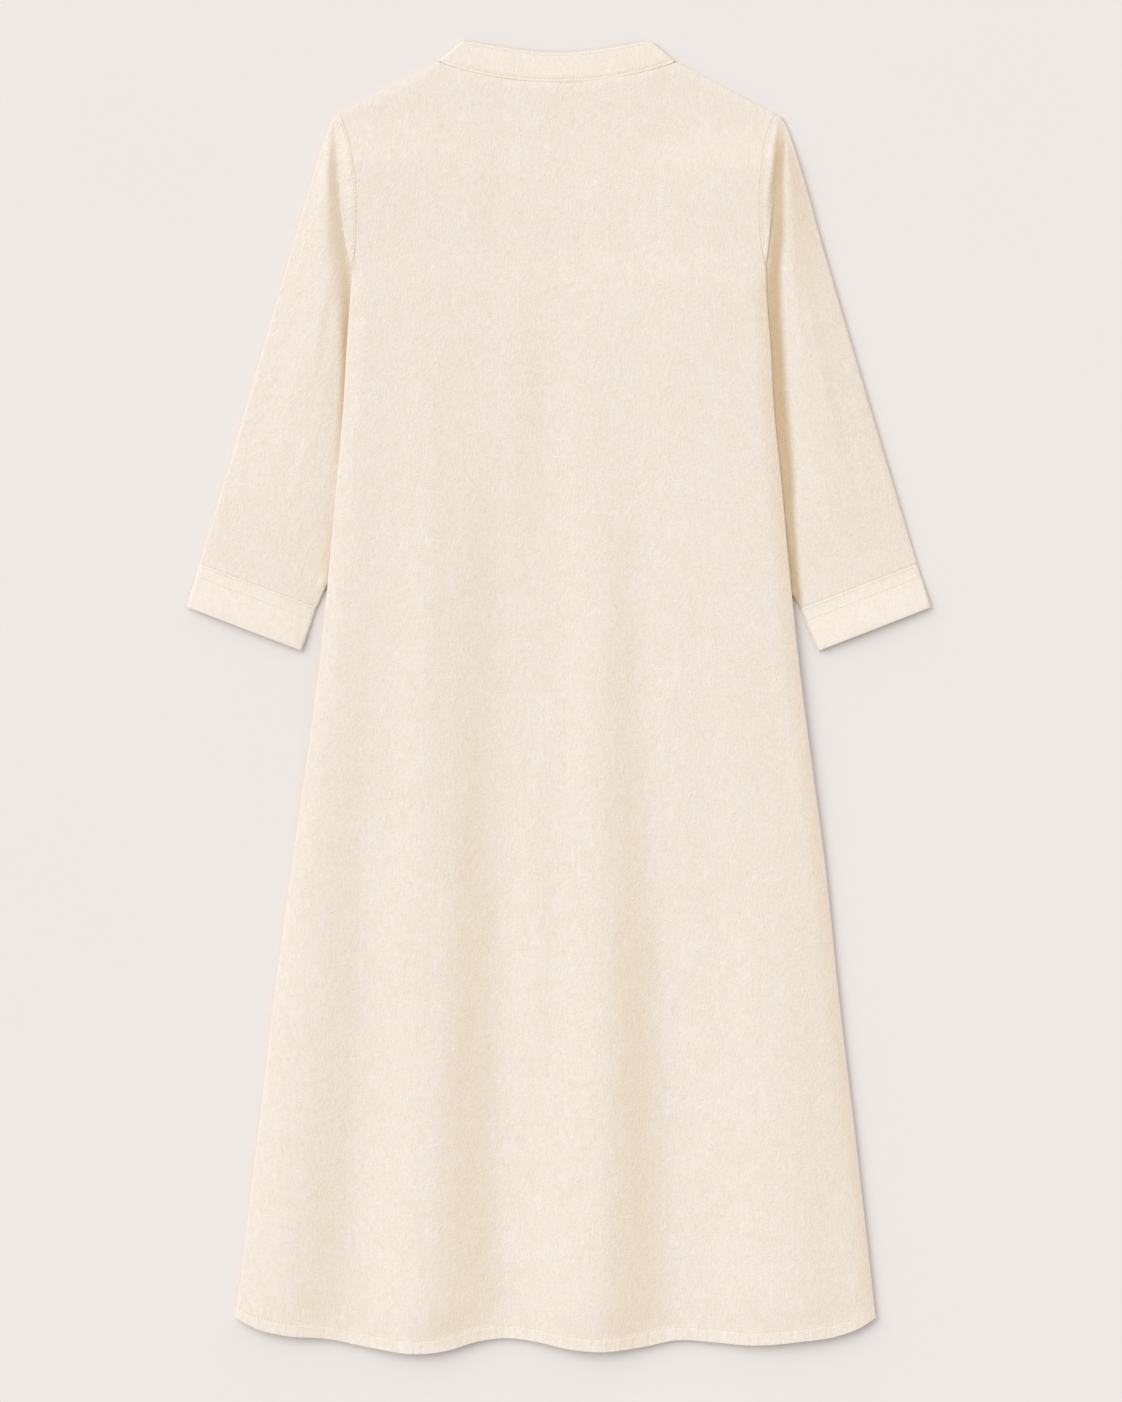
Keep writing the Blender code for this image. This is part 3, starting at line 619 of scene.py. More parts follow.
def return_strip(side, down, main_level, level, seam_level):
    """A panel's turned-under strip, from its fold to its seam, as (half-breadth, height)."""
    edge = panel_half(side, down)
    count = TURN_STEPS - 1 + STRIP_POINTS
    if not turns_under(down):
        return [(edge, main_level)] * count
    if at_crossing(down):
        angle = math.pi / 2 - CROSSING_GAP_ANGLE
        points = turn(edge, FOLD_RADIUS, main_level, level, end=angle)
        return points + [on_turn(edge, FOLD_RADIUS, main_level, level, angle)] * STRIP_POINTS
    fold = side_fold(side, down)
    if down < UNDERARM_DOWN + ROW_TOLERANCE:
        end = min(fold - seam_inset(down) + SEAM_GAP + crossing_ease(down), edge)
        ramp_start, end_level = end, level
    else:
        end = fold - tuck_depth(down)
        ramp_start, end_level = min(end + SIDE_SEAM_RAMP, edge), seam_level
    points = turn(edge, FOLD_RADIUS, main_level, level)
    points += [(edge, level), (mix(edge, ramp_start, 0.5), level), (ramp_start, level)]
    points += [(mix(ramp_start, end, 0.5), mix(level, end_level, 0.5)), (end, end_level)]
    return points


def front_columns():
    """The front's columns, which pass through the collar's points and both sides of the slit."""
    left, right = -panel_half("left", 0), panel_half("right", 0)
    across = [0.0]
    for side in ("left", "right"):
        neck = neck_half(side)
        across += [outward(side) * half for half in front_neck_halves(side)]
        across += [outward(side) * mix(neck, panel_half(side, 0), share)
                   for share in FRONT_SIDE_SHARES]
    return [(x - left) / (right - left) for x in sorted(across)]


def front_neck_halves(side):
    """Places along the front neckline, from the slit out to the collar's side fold."""
    return [mix(SLIT_HALF, neck_half(side) - COLLAR_INSET, share) for share in FRONT_NECK_SHARES]


def panel_rows(columns, top_line, hem_lift, level_at, is_back):
    """The grid of a body panel: rows run across, from seam to seam under both side folds."""
    left_top, right_top = -panel_half("left", 0), panel_half("right", 0)
    left_hem, right_hem = HEM["across"][0], HEM["across"][-1]
    rows = []
    for edge_down in (SHOULDER_POINT_DOWN,) + ARMHOLE_ROWS + BODY_ROWS:
        share = (edge_down - SHOULDER_POINT_DOWN) / (HEM_CORNER_DOWN - SHOULDER_POINT_DOWN)
        main = []
        for c in columns:
            start = top_line(mix(left_top, right_top, c))
            hem = read(HEM, "down", mix(left_hem, right_hem, c), by="across") - hem_lift
            down = mix(start, hem, share)
            across = mix(-panel_half("left", edge_down), panel_half("right", edge_down), c)
            main.append((across, down, level_at(across, down)))
        tucked = {}
        for side, end in (("left", main[0]), ("right", main[-1])):
            down = end[1]
            level = back_return_level(down) if is_back else front_return_level(down)
            shift = sleeve_room(down) / 2 * smooth(down, *SIDE_SEAM_CLOSES)
            seam_level = level - shift if is_back else level + shift
            tucked[side] = [(outward(side) * half, down, z) for half, z
                            in return_strip(side, down, end[2], level, seam_level)]
        rows.append(tucked["left"][::-1] + main + tucked["right"])
    return rows


def crossing_ease(down):
    """The room that the sleeve's thick edge needs where its seam goes round the side fold."""
    return CROSSING_EASE * (1 - smooth(abs(down - CROSSING_DOWN), 0.0, CROSSING_EASED))


def sleeve_lift(half, crossing, drop_length, down):
    """How high the sleeve's lower layer lies: over the front's two layers, then on the floor."""
    on_front = 1 - smooth(half, crossing, crossing + drop_length)
    return FLOOR_LEVEL + 2 * open_layer(down) * on_front


def sleeve_row(side, inner, outer, attached, to_cuff=math.inf):
    """One section of a sleeve, from its back seam round the outer fold to its front seam."""

    def down_at(half):
        return mix(inner[1], outer[1], (half - inner[0]) / (outer[0] - inner[0]))

    down = inner[1]
    fold = side_fold(side, down)
    flattened = 1 - smooth(to_cuff, *CUFF_FLATTENS)
    soft = 1 - smooth(down, *SOFT_VALLEY)
    held = 1.0 if attached else smooth(fold - inner[0], *SLEEVE_LEAVES)
    if attached:
        tuck = tuck_depth(down) * (1 - soft)
        bulge = FOLD_RADIUS * min(tuck / FULL_TURN_TUCK, 1.0)
        crossing = fold - WALL / 2 - bulge
        valley = crossing - max(tuck - 2 * FOLD_INSET, 0.0)
        strip_start = min(read(ARMHOLE, side, down) + SEAM_LINE / 2 + crossing_ease(down),
                          crossing - SEAM_GAP)
        return_start = crossing
        if turns_under(down) and not at_crossing(down):
            return_start = fold - seam_inset(down) - SEAM_GAP - crossing_ease(down)
            valley = min(valley, return_start)
    else:
        valley = inner[0] + FOLD_INSET
        crossing = fold
        for _ in range(CROSSING_TRIES):
            crossing = side_fold(side, down_at(crossing))
        crossing = max(crossing - SLEEVE_COVERED, valley)
    end = outer[0] - FOLD_INSET
    room = max(end - crossing, LEAST_ROOM)
    drop_length = min(SLEEVE_DROP, SLEEVE_DROP_MOST * room)
    near = [crossing + offset * min(1.0, room / NEAR_ROOM) for offset in NEAR_OFFSETS]
    spread = [mix(near[-1], end, share) for share in SPREAD_SHARES]
    main = [valley, mix(valley, crossing, 0.5), crossing] + near + spread

    def lower_level(half):
        return mix(FLOOR_LEVEL, sleeve_lift(half, crossing, drop_length, down), held)

    def upper_level(half):
        share = min(max((half - crossing) / room, 0.0), 1.0)
        beside = lower_level(crossing) + LAYER
        puff = SLEEVE_PUFF + SLEEVE_CAP_PUFF * (1 - smooth(down, *CAP_ENDS))
        puff *= smooth(down, *PUFF_STARTS)
        rise = edge_rise(half - crossing, min(SLEEVE_RISE, SLEEVE_RISE_MOST * room))
        rise *= mix(1.0, smooth(half - crossing, *VALLEY_RUN_OUT), soft)
        fall = smooth(share, SLEEVE_FALL, 1.0)
        lofted = smooth(down, *EDGE_LOFTS)
        edge = FLOOR_LEVEL + LAYER + SLEEVE_EDGE_LOFT * lofted
        edge = mix(beside, edge, smooth(room, *ROOM_TO_FALL))
        crown = SLEEVE_CROWN * lofted * edge_rise(end - half, SLEEVE_CROWN_WIDTH)
        relief = sleeve_relief(side, half - side_fold(side, down_at(half)), down_at(half))
        full = mix(beside + puff * rise, edge, fall) + crown + share_of_relief(share) * relief
        inner_edge = inner[0] if inner[0] else crossing
        end_level = SLEEVE_END_LEVEL + cuff_puff((half - inner_edge) / (outer[0] - inner_edge))
        return max(mix(full, end_level, flattened), lower_level(half) + LAYER)

    def half_section(levels, main_level):
        strip_level, return_level = levels
        inside = main_level(valley)
        if not attached:
            middle = (lower_level(valley) + upper_level(valley)) / 2
            start = middle + math.copysign(SEAM_GAP / 2, inside - middle)
            quarter = turn(valley, -FOLD_RADIUS, 2 * middle - inside, inside,
                           TURN_STEPS, math.pi / 2, math.pi)
            points = [(inner[0] + WALL / 2, start)] * (len(STRIP_SHARES) + TURN_STEPS - 1 + 2)
            return points + quarter + [(half, main_level(half)) for half in main]
        points = [(mix(strip_start, crossing, share),
                   mix(strip_level, inside, soft * smooth(share, *VALLEY_SLOPE[side])))
                  for share in STRIP_SHARES]
        strip_level, return_level = mix(strip_level, inside, soft), mix(return_level, inside, soft)
        points += turn(crossing, bulge, strip_level, return_level)
        if down >= UNDERARM_DOWN:
            return_level = mix(return_level, inside, UNDERARM_LOWERED)
        if at_crossing(down):
            angle = math.pi / 2 + CROSSING_TURN * CROSSING_GAP_ANGLE
            at_seam = on_turn(crossing, bulge, strip_level, return_level, angle)
            points = [at_seam] * len(STRIP_SHARES)
            points += turn(crossing, bulge, strip_level, return_level, start=angle)
        elif turns_under(down):
            points = [(return_start, return_level)] * len(points)
        points += [(return_start, return_level), (valley, return_level)]
        points += turn(valley, -bulge, return_level, inside)
        return points + [(half, main_level(half)) for half in main]

    upper = half_section((top_level(down), back_return_level(down)), upper_level)
    lower = half_section((FLOOR_LEVEL, front_return_level(down)), lower_level)
    section = upper + turn(end, FOLD_RADIUS, upper[-1][1], lower[-1][1]) + lower[::-1]
    return [(outward(side) * half, down_at(half), z) for half, z in section]


def sleeve_rows(side):
    """The sections of a sleeve, from the shoulder point down to its cuff."""
    top_inner, top_outer = SLEEVE_TOP[side]
    rows = [sleeve_row(side, top_inner, top_outer, True)]
    for down in ARMHOLE_ROWS:
        outer = read(SLEEVE_OUTER, side, down)
        rows.append(sleeve_row(side, (0.0, down), (outer, down), True))
    inner_end = CUFF_CORNERS[side]["inner_seam"][1] - SEAM_LINE
    outer_end = CUFF_CORNERS[side]["outer_seam"][1] - SEAM_LINE
    for share in SLEEVE_ROW_SHARES:
        inner_down = mix(UNDERARM_DOWN, inner_end, share)
        outer_down = mix(UNDERARM_DOWN, outer_end, share)
        inner = (read(SLEEVE_INNER, side, inner_down), inner_down)
        outer = (read(SLEEVE_OUTER, side, outer_down), outer_down)
        to_cuff = (1 - share) * (inner_end - UNDERARM_DOWN)
        rows.append(sleeve_row(side, inner, outer, False, to_cuff))
    return rows


def cuff_rows(side):
    """Rings of the flattened cuff, from its seam to its open end."""
    corners = CUFF_CORNERS[side]
    low = CUFF_WALL / 2
    high = low + CUFF_WALL + SEAM_GAP
    radius = (high - low) / 2
    inset = radius + CUFF_WALL / 2
    rows = []
    for share in CUFF_SHARES:
        inner = [mix(a, b, share) for a, b in zip(corners["inner_seam"], corners["inner_end"])]
        outer = [mix(a, b, share) for a, b in zip(corners["outer_seam"], corners["outer_end"])]
        breadth = outer[0] - inner[0]
        halves = np.linspace(inner[0] + inset, outer[0] - inset, CUFF_COLUMNS)
        lift = cuff_lift(share)
        ring = [(half, cuff_level(side, half, (half - inner[0]) / breadth, share))
                for half in halves]
        ring += turn(halves[-1], radius, high + lift, low + lift)
        ring += [(half, low + lift) for half in halves[::-1]]
        ring += turn(halves[0], -radius, low + lift, high + lift)
        rows.append([(outward(side) * half,
                      mix(inner[1], outer[1], (half - inner[0]) / breadth), z)
                     for half, z in ring])
    return rows


def collar_point(side, half, band, is_back):
    """A point of the collar's mid-surface; band runs from 0 at its seam to 1 at its top edge."""
    neck, top = neck_half(side), collar_top_half(side)
    share = half / (neck - COLLAR_INSET)
    if is_back:
        seam_drop = drop(half, neck, BACK_NECK_DROP, BACK_NECK_ROUNDNESS)
        top_drop = drop(share, 1.0, COLLAR_TOP_DROP, COLLAR_TOP_ROUNDNESS)
    else:
        seam_drop = drop(half, neck, FRONT_NECK_DROP, FRONT_NECK_ROUNDNESS)
        top_drop = drop(share, 1.0, FRONT_COLLAR_TOP_DROP, FRONT_COLLAR_TOP_ROUNDNESS)
    if share > COLLAR_FOLD_SHARE:
        seam_drop = 0.0
    across = mix(half, (top - COLLAR_INSET) * share, band)
    down = mix(NECK_CORNER_DOWN + seam_drop, COLLAR_TOP_DOWN + top_drop, band)
    down += COLLAR_CORNER * smooth(band, *COLLAR_CORNER_BANDS) * share**COLLAR_CORNER_SHARPNESS
    level = COLLAR_HIGH + collar_relief(outward(side) * across, band) if is_back else COLLAR_LOW
    return outward(side) * across, down, level


def collar_rows():
    """The band, from one end at the centre front round the neck to the other."""
    thick = COLLAR_HIGH - COLLAR_LOW
    rows = []
    for band in COLLAR_BANDS:
        fronts, backs, folds = {}, {}, {}
        for side in ("left", "right"):
            whole = neck_half(side) - COLLAR_INSET
            fronts[side] = [collar_point(side, half, band, False)
                            for half in front_neck_halves(side)]
            backs[side] = [collar_point(side, whole * share, band, True)
                           for share in BACK_COLLAR_SHARES]
            start, end = fronts[side][-1], backs[side][-1]
            folds[side] = [(start[0] + outward(side) * bulge,
                            mix(start[1], end[1], (z - COLLAR_LOW) / thick), z)
                           for bulge, z in turn(0.0, thick / 2, COLLAR_LOW, COLLAR_HIGH, 6)]
        rows.append(fronts["left"] + folds["left"] + backs["left"][:0:-1]
                    + backs["right"] + folds["right"][::-1] + fronts["right"][::-1])
    return rows


# ---------------------------------------------------------------- meshes


def place(across, down, level):
    """A point in the scene, in metres."""
    return Vector((across * MM, (LENGTH / 2 - down) * MM, level * MM))


def run_lengths(points):
    """The distance along a row of points from its first one."""
    steps = np.linalg.norm(np.diff(points, axis=0), axis=1)
    return np.concatenate([[0.0], np.cumsum(steps)])


def lay_uvs(mesh, points, faces, start):
    """A UV map in metres: U runs along each row from its middle, V down the cloth."""
    centre = points.shape[1] // 2
    along = np.array([run_lengths(row) for row in points])
    along -= along[:, centre:centre + 1]
    down = run_lengths(points[:, centre])[:, None] + np.zeros_like(along)
    uvs = np.stack([along + start[0], down + start[1]], axis=-1).reshape(-1, 2)
    layer = mesh.uv_layers.new(name="cloth")
    for polygon, corners in zip(mesh.polygons, faces):
        for loop, corner in zip(polygon.loop_indices, corners):
            layer.data[loop].uv = uvs[corner]


def add_masks(mesh, count, masks):
    """Point attributes for the material: how doubled the cloth is, how much painted shade its
    slopes get, and how much painted shade it gets beside the body and along the armhole seam.
    """
    for name, values in masks.items():
        attribute = mesh.attributes.new(name, "FLOAT", "POINT")
        attribute.data.foreach_set("value", np.asarray(values, float).reshape(count))


def cloth_piece(name, rows, wall, doubled, closed=False, tucked=None):
    """A sheet through rows of points, (across, down, height), given its wall by a Solidify."""
    points = np.array([[place(*point) for point in row] for row in rows])
    height, width = points.shape[:2]
    faces = []
    for r in range(height - 1):
        for i in range(width if closed else width - 1):
            j = (i + 1) % width
            faces.append((r * width + i, (r + 1) * width + i, (r + 1) * width + j, r * width + j))
    mesh = bpy.data.meshes.new(name)
    mesh.from_pydata(points.reshape(-1, 3).tolist(), [], faces)
    lay_uvs(mesh, points, faces, UV_STARTS[name])
    tucked = np.zeros((height, width)) if tucked is None else tucked
    # Painted shade: two of these masks darken the colour where slopes fall away, beside the body
    # and along the armhole seam.
    add_masks(mesh, height * width, {
        "doubled": doubled, "shaded": shade_of(points), "tucked": tucked})
    merge_meeting_points(mesh)
    piece = bpy.data.objects.new(name, mesh)
    bpy.context.scene.collection.objects.link(piece)
    finish_wall(piece, wall)
    return piece


def shade_of(points):
    """Painted shade, 1 where the cloth falls away to the lower right and 0 where it
    is level or faces left, as the key light from the upper left would shade it.
    """
    down_row = np.gradient(points, axis=0)
    along_row = np.gradient(points, axis=1)
    normals = np.cross(down_row, along_row)
    lengths = np.maximum(np.linalg.norm(normals, axis=2, keepdims=True), 1e-12)
    normals = normals / lengths
    normals *= np.where(normals[:, :, 2:] < 0, -1.0, 1.0)
    falls = normals @ np.array(SHADE_DIRECTION)
    return SHADE_MOST * np.clip(
        (falls - SHADE_RANGE[0]) / (SHADE_RANGE[1] - SHADE_RANGE[0]), 0.0, 1.0)


def merge_meeting_points(mesh):
    """Where a strip runs out to nothing, its points meet and its empty faces go."""
    work = bmesh.new()
    work.from_mesh(mesh)
    bmesh.ops.remove_doubles(work, verts=work.verts, dist=MEETING_POINTS * MM)
    bmesh.ops.dissolve_degenerate(work, edges=work.edges, dist=MEETING_POINTS * MM)
    work.to_mesh(mesh)
    work.free()


def only(piece):
    """Make a piece the one that is selected and active."""
    bpy.ops.object.select_all(action="DESELECT")
    piece.select_set(True)
    bpy.context.view_layer.objects.active = piece


def finish_wall(piece, wall):
    """The wall's thickness, with the soft edge that turned cloth has."""
    only(piece)
    solidify = piece.modifiers.new("wall", "SOLIDIFY")
    solidify.thickness = wall * MM
    solidify.offset = 0.0
    bevel = piece.modifiers.new("soft_edge", "BEVEL")
    bevel.width = EDGE_SOFTNESS * wall * MM
    bevel.segments = 2
    bevel.limit_method = "ANGLE"
    bevel.angle_limit = math.radians(SHARP_EDGE)
    for modifier in [m.name for m in piece.modifiers]:
        bpy.ops.object.modifier_apply(modifier=modifier)
    bpy.ops.object.shade_smooth_by_angle(angle=math.radians(SMOOTH_EDGE))


# ---------------------------------------------------------------- thread


def back_surface(across, down):
    """A place on the back's outer side."""
    return place(across, down, back_level(across, down) + WALL / 2)


def stitch_line(place_at):
    """Pairs of ends of the stitches along a path, which place_at gives for shares 0 to 1."""
    thread = bpy.context.scene.kurti_thread
    samples = np.array([place_at(share) for share in np.linspace(0.0, 1.0, PATH_SAMPLES)])
    travelled = run_lengths(samples)
    pitch = thread.stitch_length + thread.stitch_gap
    ends = []
    for i in range(int(travelled[-1] / pitch)):
        stops = (i * pitch, i * pitch + thread.stitch_length)
        ends.append([Vector([float(np.interp(stop, travelled, samples[:, axis]))
                             for axis in range(3)]) for stop in stops])
    return ends


def stitch_rings(start, end, up, radius):
    """Rings of a stitch that dives into the cloth at both ends."""
    forward = (end - start).normalized()
    aside = forward.cross(up).normalized()
    rings = []
    for share, lift, size in STITCH_PROFILE:
        centre = start.lerp(end, share) + up * (radius * lift)
        ring = []
        for i in range(STITCH_SIDES):
            angle = 2 * math.pi * i / STITCH_SIDES
            ring.append(centre + (aside * math.cos(angle) + up * math.sin(angle)) * radius * size)
        rings.append(ring)
    return rings


def thread_piece(name, ends, up=(0.0, 0.0, 1.0)):
    """All the stitches of one row or more, as one piece."""
    radius = bpy.context.scene.kurti_thread.thread_width / 2
    work = bmesh.new()
    for start, end in ends:
        rings = [[work.verts.new(point) for point in ring]
                 for ring in stitch_rings(start, end, Vector(up), radius)]
        for one, two in zip(rings, rings[1:]):
            for i in range(STITCH_SIDES):
                j = (i + 1) % STITCH_SIDES
                work.faces.new((one[i], one[j], two[j], two[i]))
        work.faces.new(rings[0][::-1])
        work.faces.new(rings[-1])
    bmesh.ops.recalc_face_normals(work, faces=work.faces)
    mesh = bpy.data.meshes.new(name)
    work.to_mesh(mesh)
    work.free()
    mesh.shade_smooth()
    piece = bpy.data.objects.new(name, mesh)
    bpy.context.scene.collection.objects.link(piece)
    piece.data.materials.append(thread_material())
    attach(piece, "root")
    return piece


# ---------------------------------------------------------------- materials


class Nodes:
    """A node tree with short ways to add, set and join its nodes."""

    def __init__(self, tree):
        self.tree = tree

    def add(self, kind, sources=(), **settings):
        node = self.tree.nodes.new("ShaderNode" + kind)
        for name, value in settings.items():
            setattr(node, name, value)
        for socket, source in dict(sources).items():
            if isinstance(source, bpy.types.NodeSocket):
                self.tree.links.new(source, node.inputs[socket])
            else:
                node.inputs[socket].default_value = source
        return node

    def math(self, operation, *values):
        return self.add("Math", enumerate(values), operation=operation).outputs[0]

    def vector(self, operation, one, two):
        return self.add("VectorMath", {0: one, 1: two}, operation=operation).outputs[0]

    def scaled(self, vector, scale):
        return self.vector("MULTIPLY", vector, scale)

    def noise(self, vector, detail, roughness):
        node = self.add("TexNoise", {"Vector": vector, "Scale": 1.0, "Detail": detail,
                                     "Roughness": roughness})
        return node.outputs["Fac"]

    def wave(self, vector, scale, detail, roughness):
        """Noise about 0, with its own frequencies in each direction."""
        noise_at = self.noise(self.scaled(vector, scale), detail, roughness)
        return self.math("SUBTRACT", noise_at, 0.5)

    def total(self, *parts):
        """The sum of values, each times its own weight."""
        whole = 0.0
        for value, weight in parts:
            whole = self.math("ADD", whole, self.math("MULTIPLY", value, weight))
        return whole

    def ramp(self, value, low, high):
        node = self.add("MapRange", {"Value": value, "From Min": low, "From Max": high})
        node.interpolation_type = "SMOOTHSTEP"
        return node.outputs["Result"]

    def mixed(self, share, one, two, blend="MIX"):
        node = self.add("Mix", data_type="RGBA", blend_type=blend)
        for name, kind, source in (("Factor", "VALUE", share), ("A", "RGBA", one),
                                   ("B", "RGBA", two)):
            socket = next(s for s in node.inputs if s.name == name and s.type == kind)
            if isinstance(source, bpy.types.NodeSocket):
                self.tree.links.new(source, socket)
            else:
                socket.default_value = source
        return next(s for s in node.outputs if s.type == "RGBA")


def group_tree(name, inputs, outputs):
    """A shader node group with its sockets, and its first and last node."""
    tree = bpy.data.node_groups.new(name, "ShaderNodeTree")
    for socket, kind in inputs:
        tree.interface.new_socket(socket, in_out="INPUT", socket_type="NodeSocket" + kind)
    for socket, kind in outputs:
        tree.interface.new_socket(socket, in_out="OUTPUT", socket_type="NodeSocket" + kind)
    return tree, tree.nodes.new("NodeGroupInput"), tree.nodes.new("NodeGroupOutput")


def finish_group(tree, last, values):
    """Join the values that a group puts out to its last node."""
    for name, source in values.items():
        tree.links.new(source, last.inputs[name])
    return tree


def gauze_group():
    """Crinkled cotton: uneven warp threads, fainter weft and slubs, as height and as tone."""
    if "gauze_weave" in bpy.data.node_groups:
        return bpy.data.node_groups["gauze_weave"]
    tree, first, last = group_tree(
        "gauze_weave", [("Vector", "Vector"), ("Pitch", "Float"), ("Puckers", "Float")],
        [("Height", "Float"), ("Tone", "Float")])
    n = Nodes(tree)
    vector = first.outputs["Vector"]
    drift = n.add("TexNoise", {"Vector": n.scaled(vector, DRIFT_FREQUENCIES), "Scale": 1.0,
                               "Detail": 2.0}).outputs["Color"]
    drift = n.vector("SUBTRACT", drift, (0.5, 0.5, 0.5))
    bent = n.vector("ADD", vector, n.scaled(drift, DRIFT_REACH))
    parts = {name: n.wave(vector if name == "patches" else bent, *wave)
             for name, wave in GAUZE_WAVES.items()}
    parts["crepe"] = n.ramp(n.math("ABSOLUTE", parts["crepe"]), *CREPE_RAMP)
    parts["slub"] = n.ramp(parts["slub"], *SLUB_RAMP)
    split = n.add("SeparateXYZ", {"Vector": n.add(
        "VectorMath", {0: n.scaled(vector, (1.0, 1.0, 0.0)), "Scale": first.outputs["Pitch"]},
        operation="SCALE").outputs[0]})
    parts["weave"] = n.math("MULTIPLY", n.math("SINE", split.outputs[0]),
                            n.math("SINE", split.outputs[1]))
    height = n.total(*((parts[name], share) for name, share in GAUZE_HEIGHT.items()),
                     (parts["pucker"], first.outputs["Puckers"]))
    tone = n.total(*((parts[name], share) for name, share in GAUZE_TONE.items()))
    return finish_group(tree, last, {"Height": height, "Tone": n.math("ADD", tone, 1.0)})


def tint_group():
    """The cloth's colour: single cloth, doubled cloth, painted warm shade on slopes and beside
    the body, and the threads' own tones.
    """
    if "cloth_tint" in bpy.data.node_groups:
        return bpy.data.node_groups["cloth_tint"]
    tree, first, last = group_tree(
        "cloth_tint",
        [("Cloth", "Color"), ("Doubled Cloth", "Color"), ("Shade", "Color"), ("Doubled", "Float"),
         ("Shaded", "Float"), ("Tucked Cloth", "Color"), ("Tucked", "Float"), ("Tone", "Float")],
        [("Color", "Color")])
    n = Nodes(tree)
    i = first.outputs
    colour = n.mixed(i["Doubled"], i["Cloth"], i["Doubled Cloth"])
    # Painted shade: each shade tint darkens the colour as far as its mask says.
    for mask, shade in (("Shaded", "Shade"), ("Tucked", "Tucked Cloth")):
        colour = n.mixed(i[mask], colour, n.mixed(1.0, colour, i[shade], "MULTIPLY"))
    tones = {k: n.math("POWER", i["Tone"], power) for k, power in enumerate(TONE_POWERS)}
    tones = n.add("CombineXYZ", tones).outputs[0]
    return finish_group(tree, last, {"Color": n.mixed(1.0, colour, tones, "MULTIPLY")})


def colour_of(name):
    """A colour of the cloth's settings, opaque."""
    return tuple(getattr(bpy.context.scene.kurti_cloth, name)) + (1.0,)


def new_material(name, finish):
    """A material with its shader's finish set on its own sockets, and ways to its nodes."""
    material = bpy.data.materials.new(name)
    material.use_nodes = True
    shader = material.node_tree.nodes["Principled BSDF"]
    for socket, value in FINISHES[finish].items():
        shader.inputs[socket].default_value = value
    return material, shader, Nodes(material.node_tree)


def cotton_material(name, doubled=None):
    """Matt slubbed cotton. A band of doubled cloth passes 1; a body reads its own mask."""
    if name in bpy.data.materials:
        return bpy.data.materials[name]
    material, shader, n = new_material(name, "cotton")
    tree = material.node_tree
    uv = n.add("UVMap", uv_map="cloth").outputs["UV"]
    weave = n.add("Group", node_tree=gauze_group())
    tree.links.new(uv, weave.inputs["Vector"])
    weave.inputs["Pitch"].default_value = 2 * math.pi / (THREAD_PITCH * MM)
    masks = {}
    for mask in ("doubled", "shaded", "tucked"):
        masks[mask] = n.add("Attribute", attribute_name=mask).outputs["Fac"]
    if doubled is not None:
        masks["doubled"] = doubled
    puckers = HEM_PUCKERS if doubled is None else BAND_PUCKERS
    tree.links.new(n.math("MULTIPLY", masks["doubled"], puckers), weave.inputs["Puckers"])
    tint = n.add("Group", node_tree=tint_group())
    sources = {"Cloth": colour_of("cloth_colour"), "Doubled Cloth": colour_of("doubled_colour"),
               "Shade": colour_of("shade_tint"), "Doubled": masks["doubled"],
               "Shaded": masks["shaded"], "Tucked Cloth": colour_of("tuck_shade_tint"),
               "Tucked": masks["tucked"], "Tone": weave.outputs["Tone"]}
    for socket, source in sources.items():
        if isinstance(source, bpy.types.NodeSocket):
            tree.links.new(source, tint.inputs[socket])
        else:
            tint.inputs[socket].default_value = source
    tree.links.new(tint.outputs["Color"], shader.inputs["Base Color"])
    bump = n.add("Bump", {"Height": weave.outputs["Height"], "Strength": 1.0,
                          "Distance": BUMP_DEPTHS[name] * MM})
    tree.links.new(bump.outputs["Normal"], shader.inputs["Normal"])
    return material


def thread_material():
    """Twisted cotton thread, a little more tan than the cloth, which is partly its own colour
    and partly painted shade of its stitch holes.
    """
    if "sewing_thread" in bpy.data.materials:
        return bpy.data.materials["sewing_thread"]
    material, shader, n = new_material("sewing_thread", "thread")
    position = n.add("TexCoord").outputs["Object"]
    twist = n.noise(n.scaled(position, (TWIST_FREQUENCY,) * 3), 2.0, 0.5)
    light = colour_of("thread_colour_and_shade")
    dark = tuple(channel * TWIST_DARK for channel in light[:3]) + (1.0,)
    material.node_tree.links.new(n.mixed(twist, dark, light), shader.inputs["Base Color"])
    bump = n.add("Bump", {"Height": twist, "Strength": 0.6, "Distance": TWIST_DEPTH * MM})
    material.node_tree.links.new(bump.outputs["Normal"], shader.inputs["Normal"])
    return material


def floor_material():
    """A smooth pale board with the faintest unevenness of tone."""
    material, shader, n = new_material("pale_board", "board")
    position = n.add("TexCoord").outputs["Object"]
    cloud = n.noise(n.scaled(position, (BOARD_FREQUENCY,) * 3), 3.0, 0.5)
    board = tuple(bpy.context.scene.kurti_stage.board_colour) + (1.0,)
    dark = tuple(channel * BOARD_DARK for channel in board[:3]) + (1.0,)
    material.node_tree.links.new(n.mixed(cloud, dark, board), shader.inputs["Base Color"])
    return material


# ---------------------------------------------------------------- settings


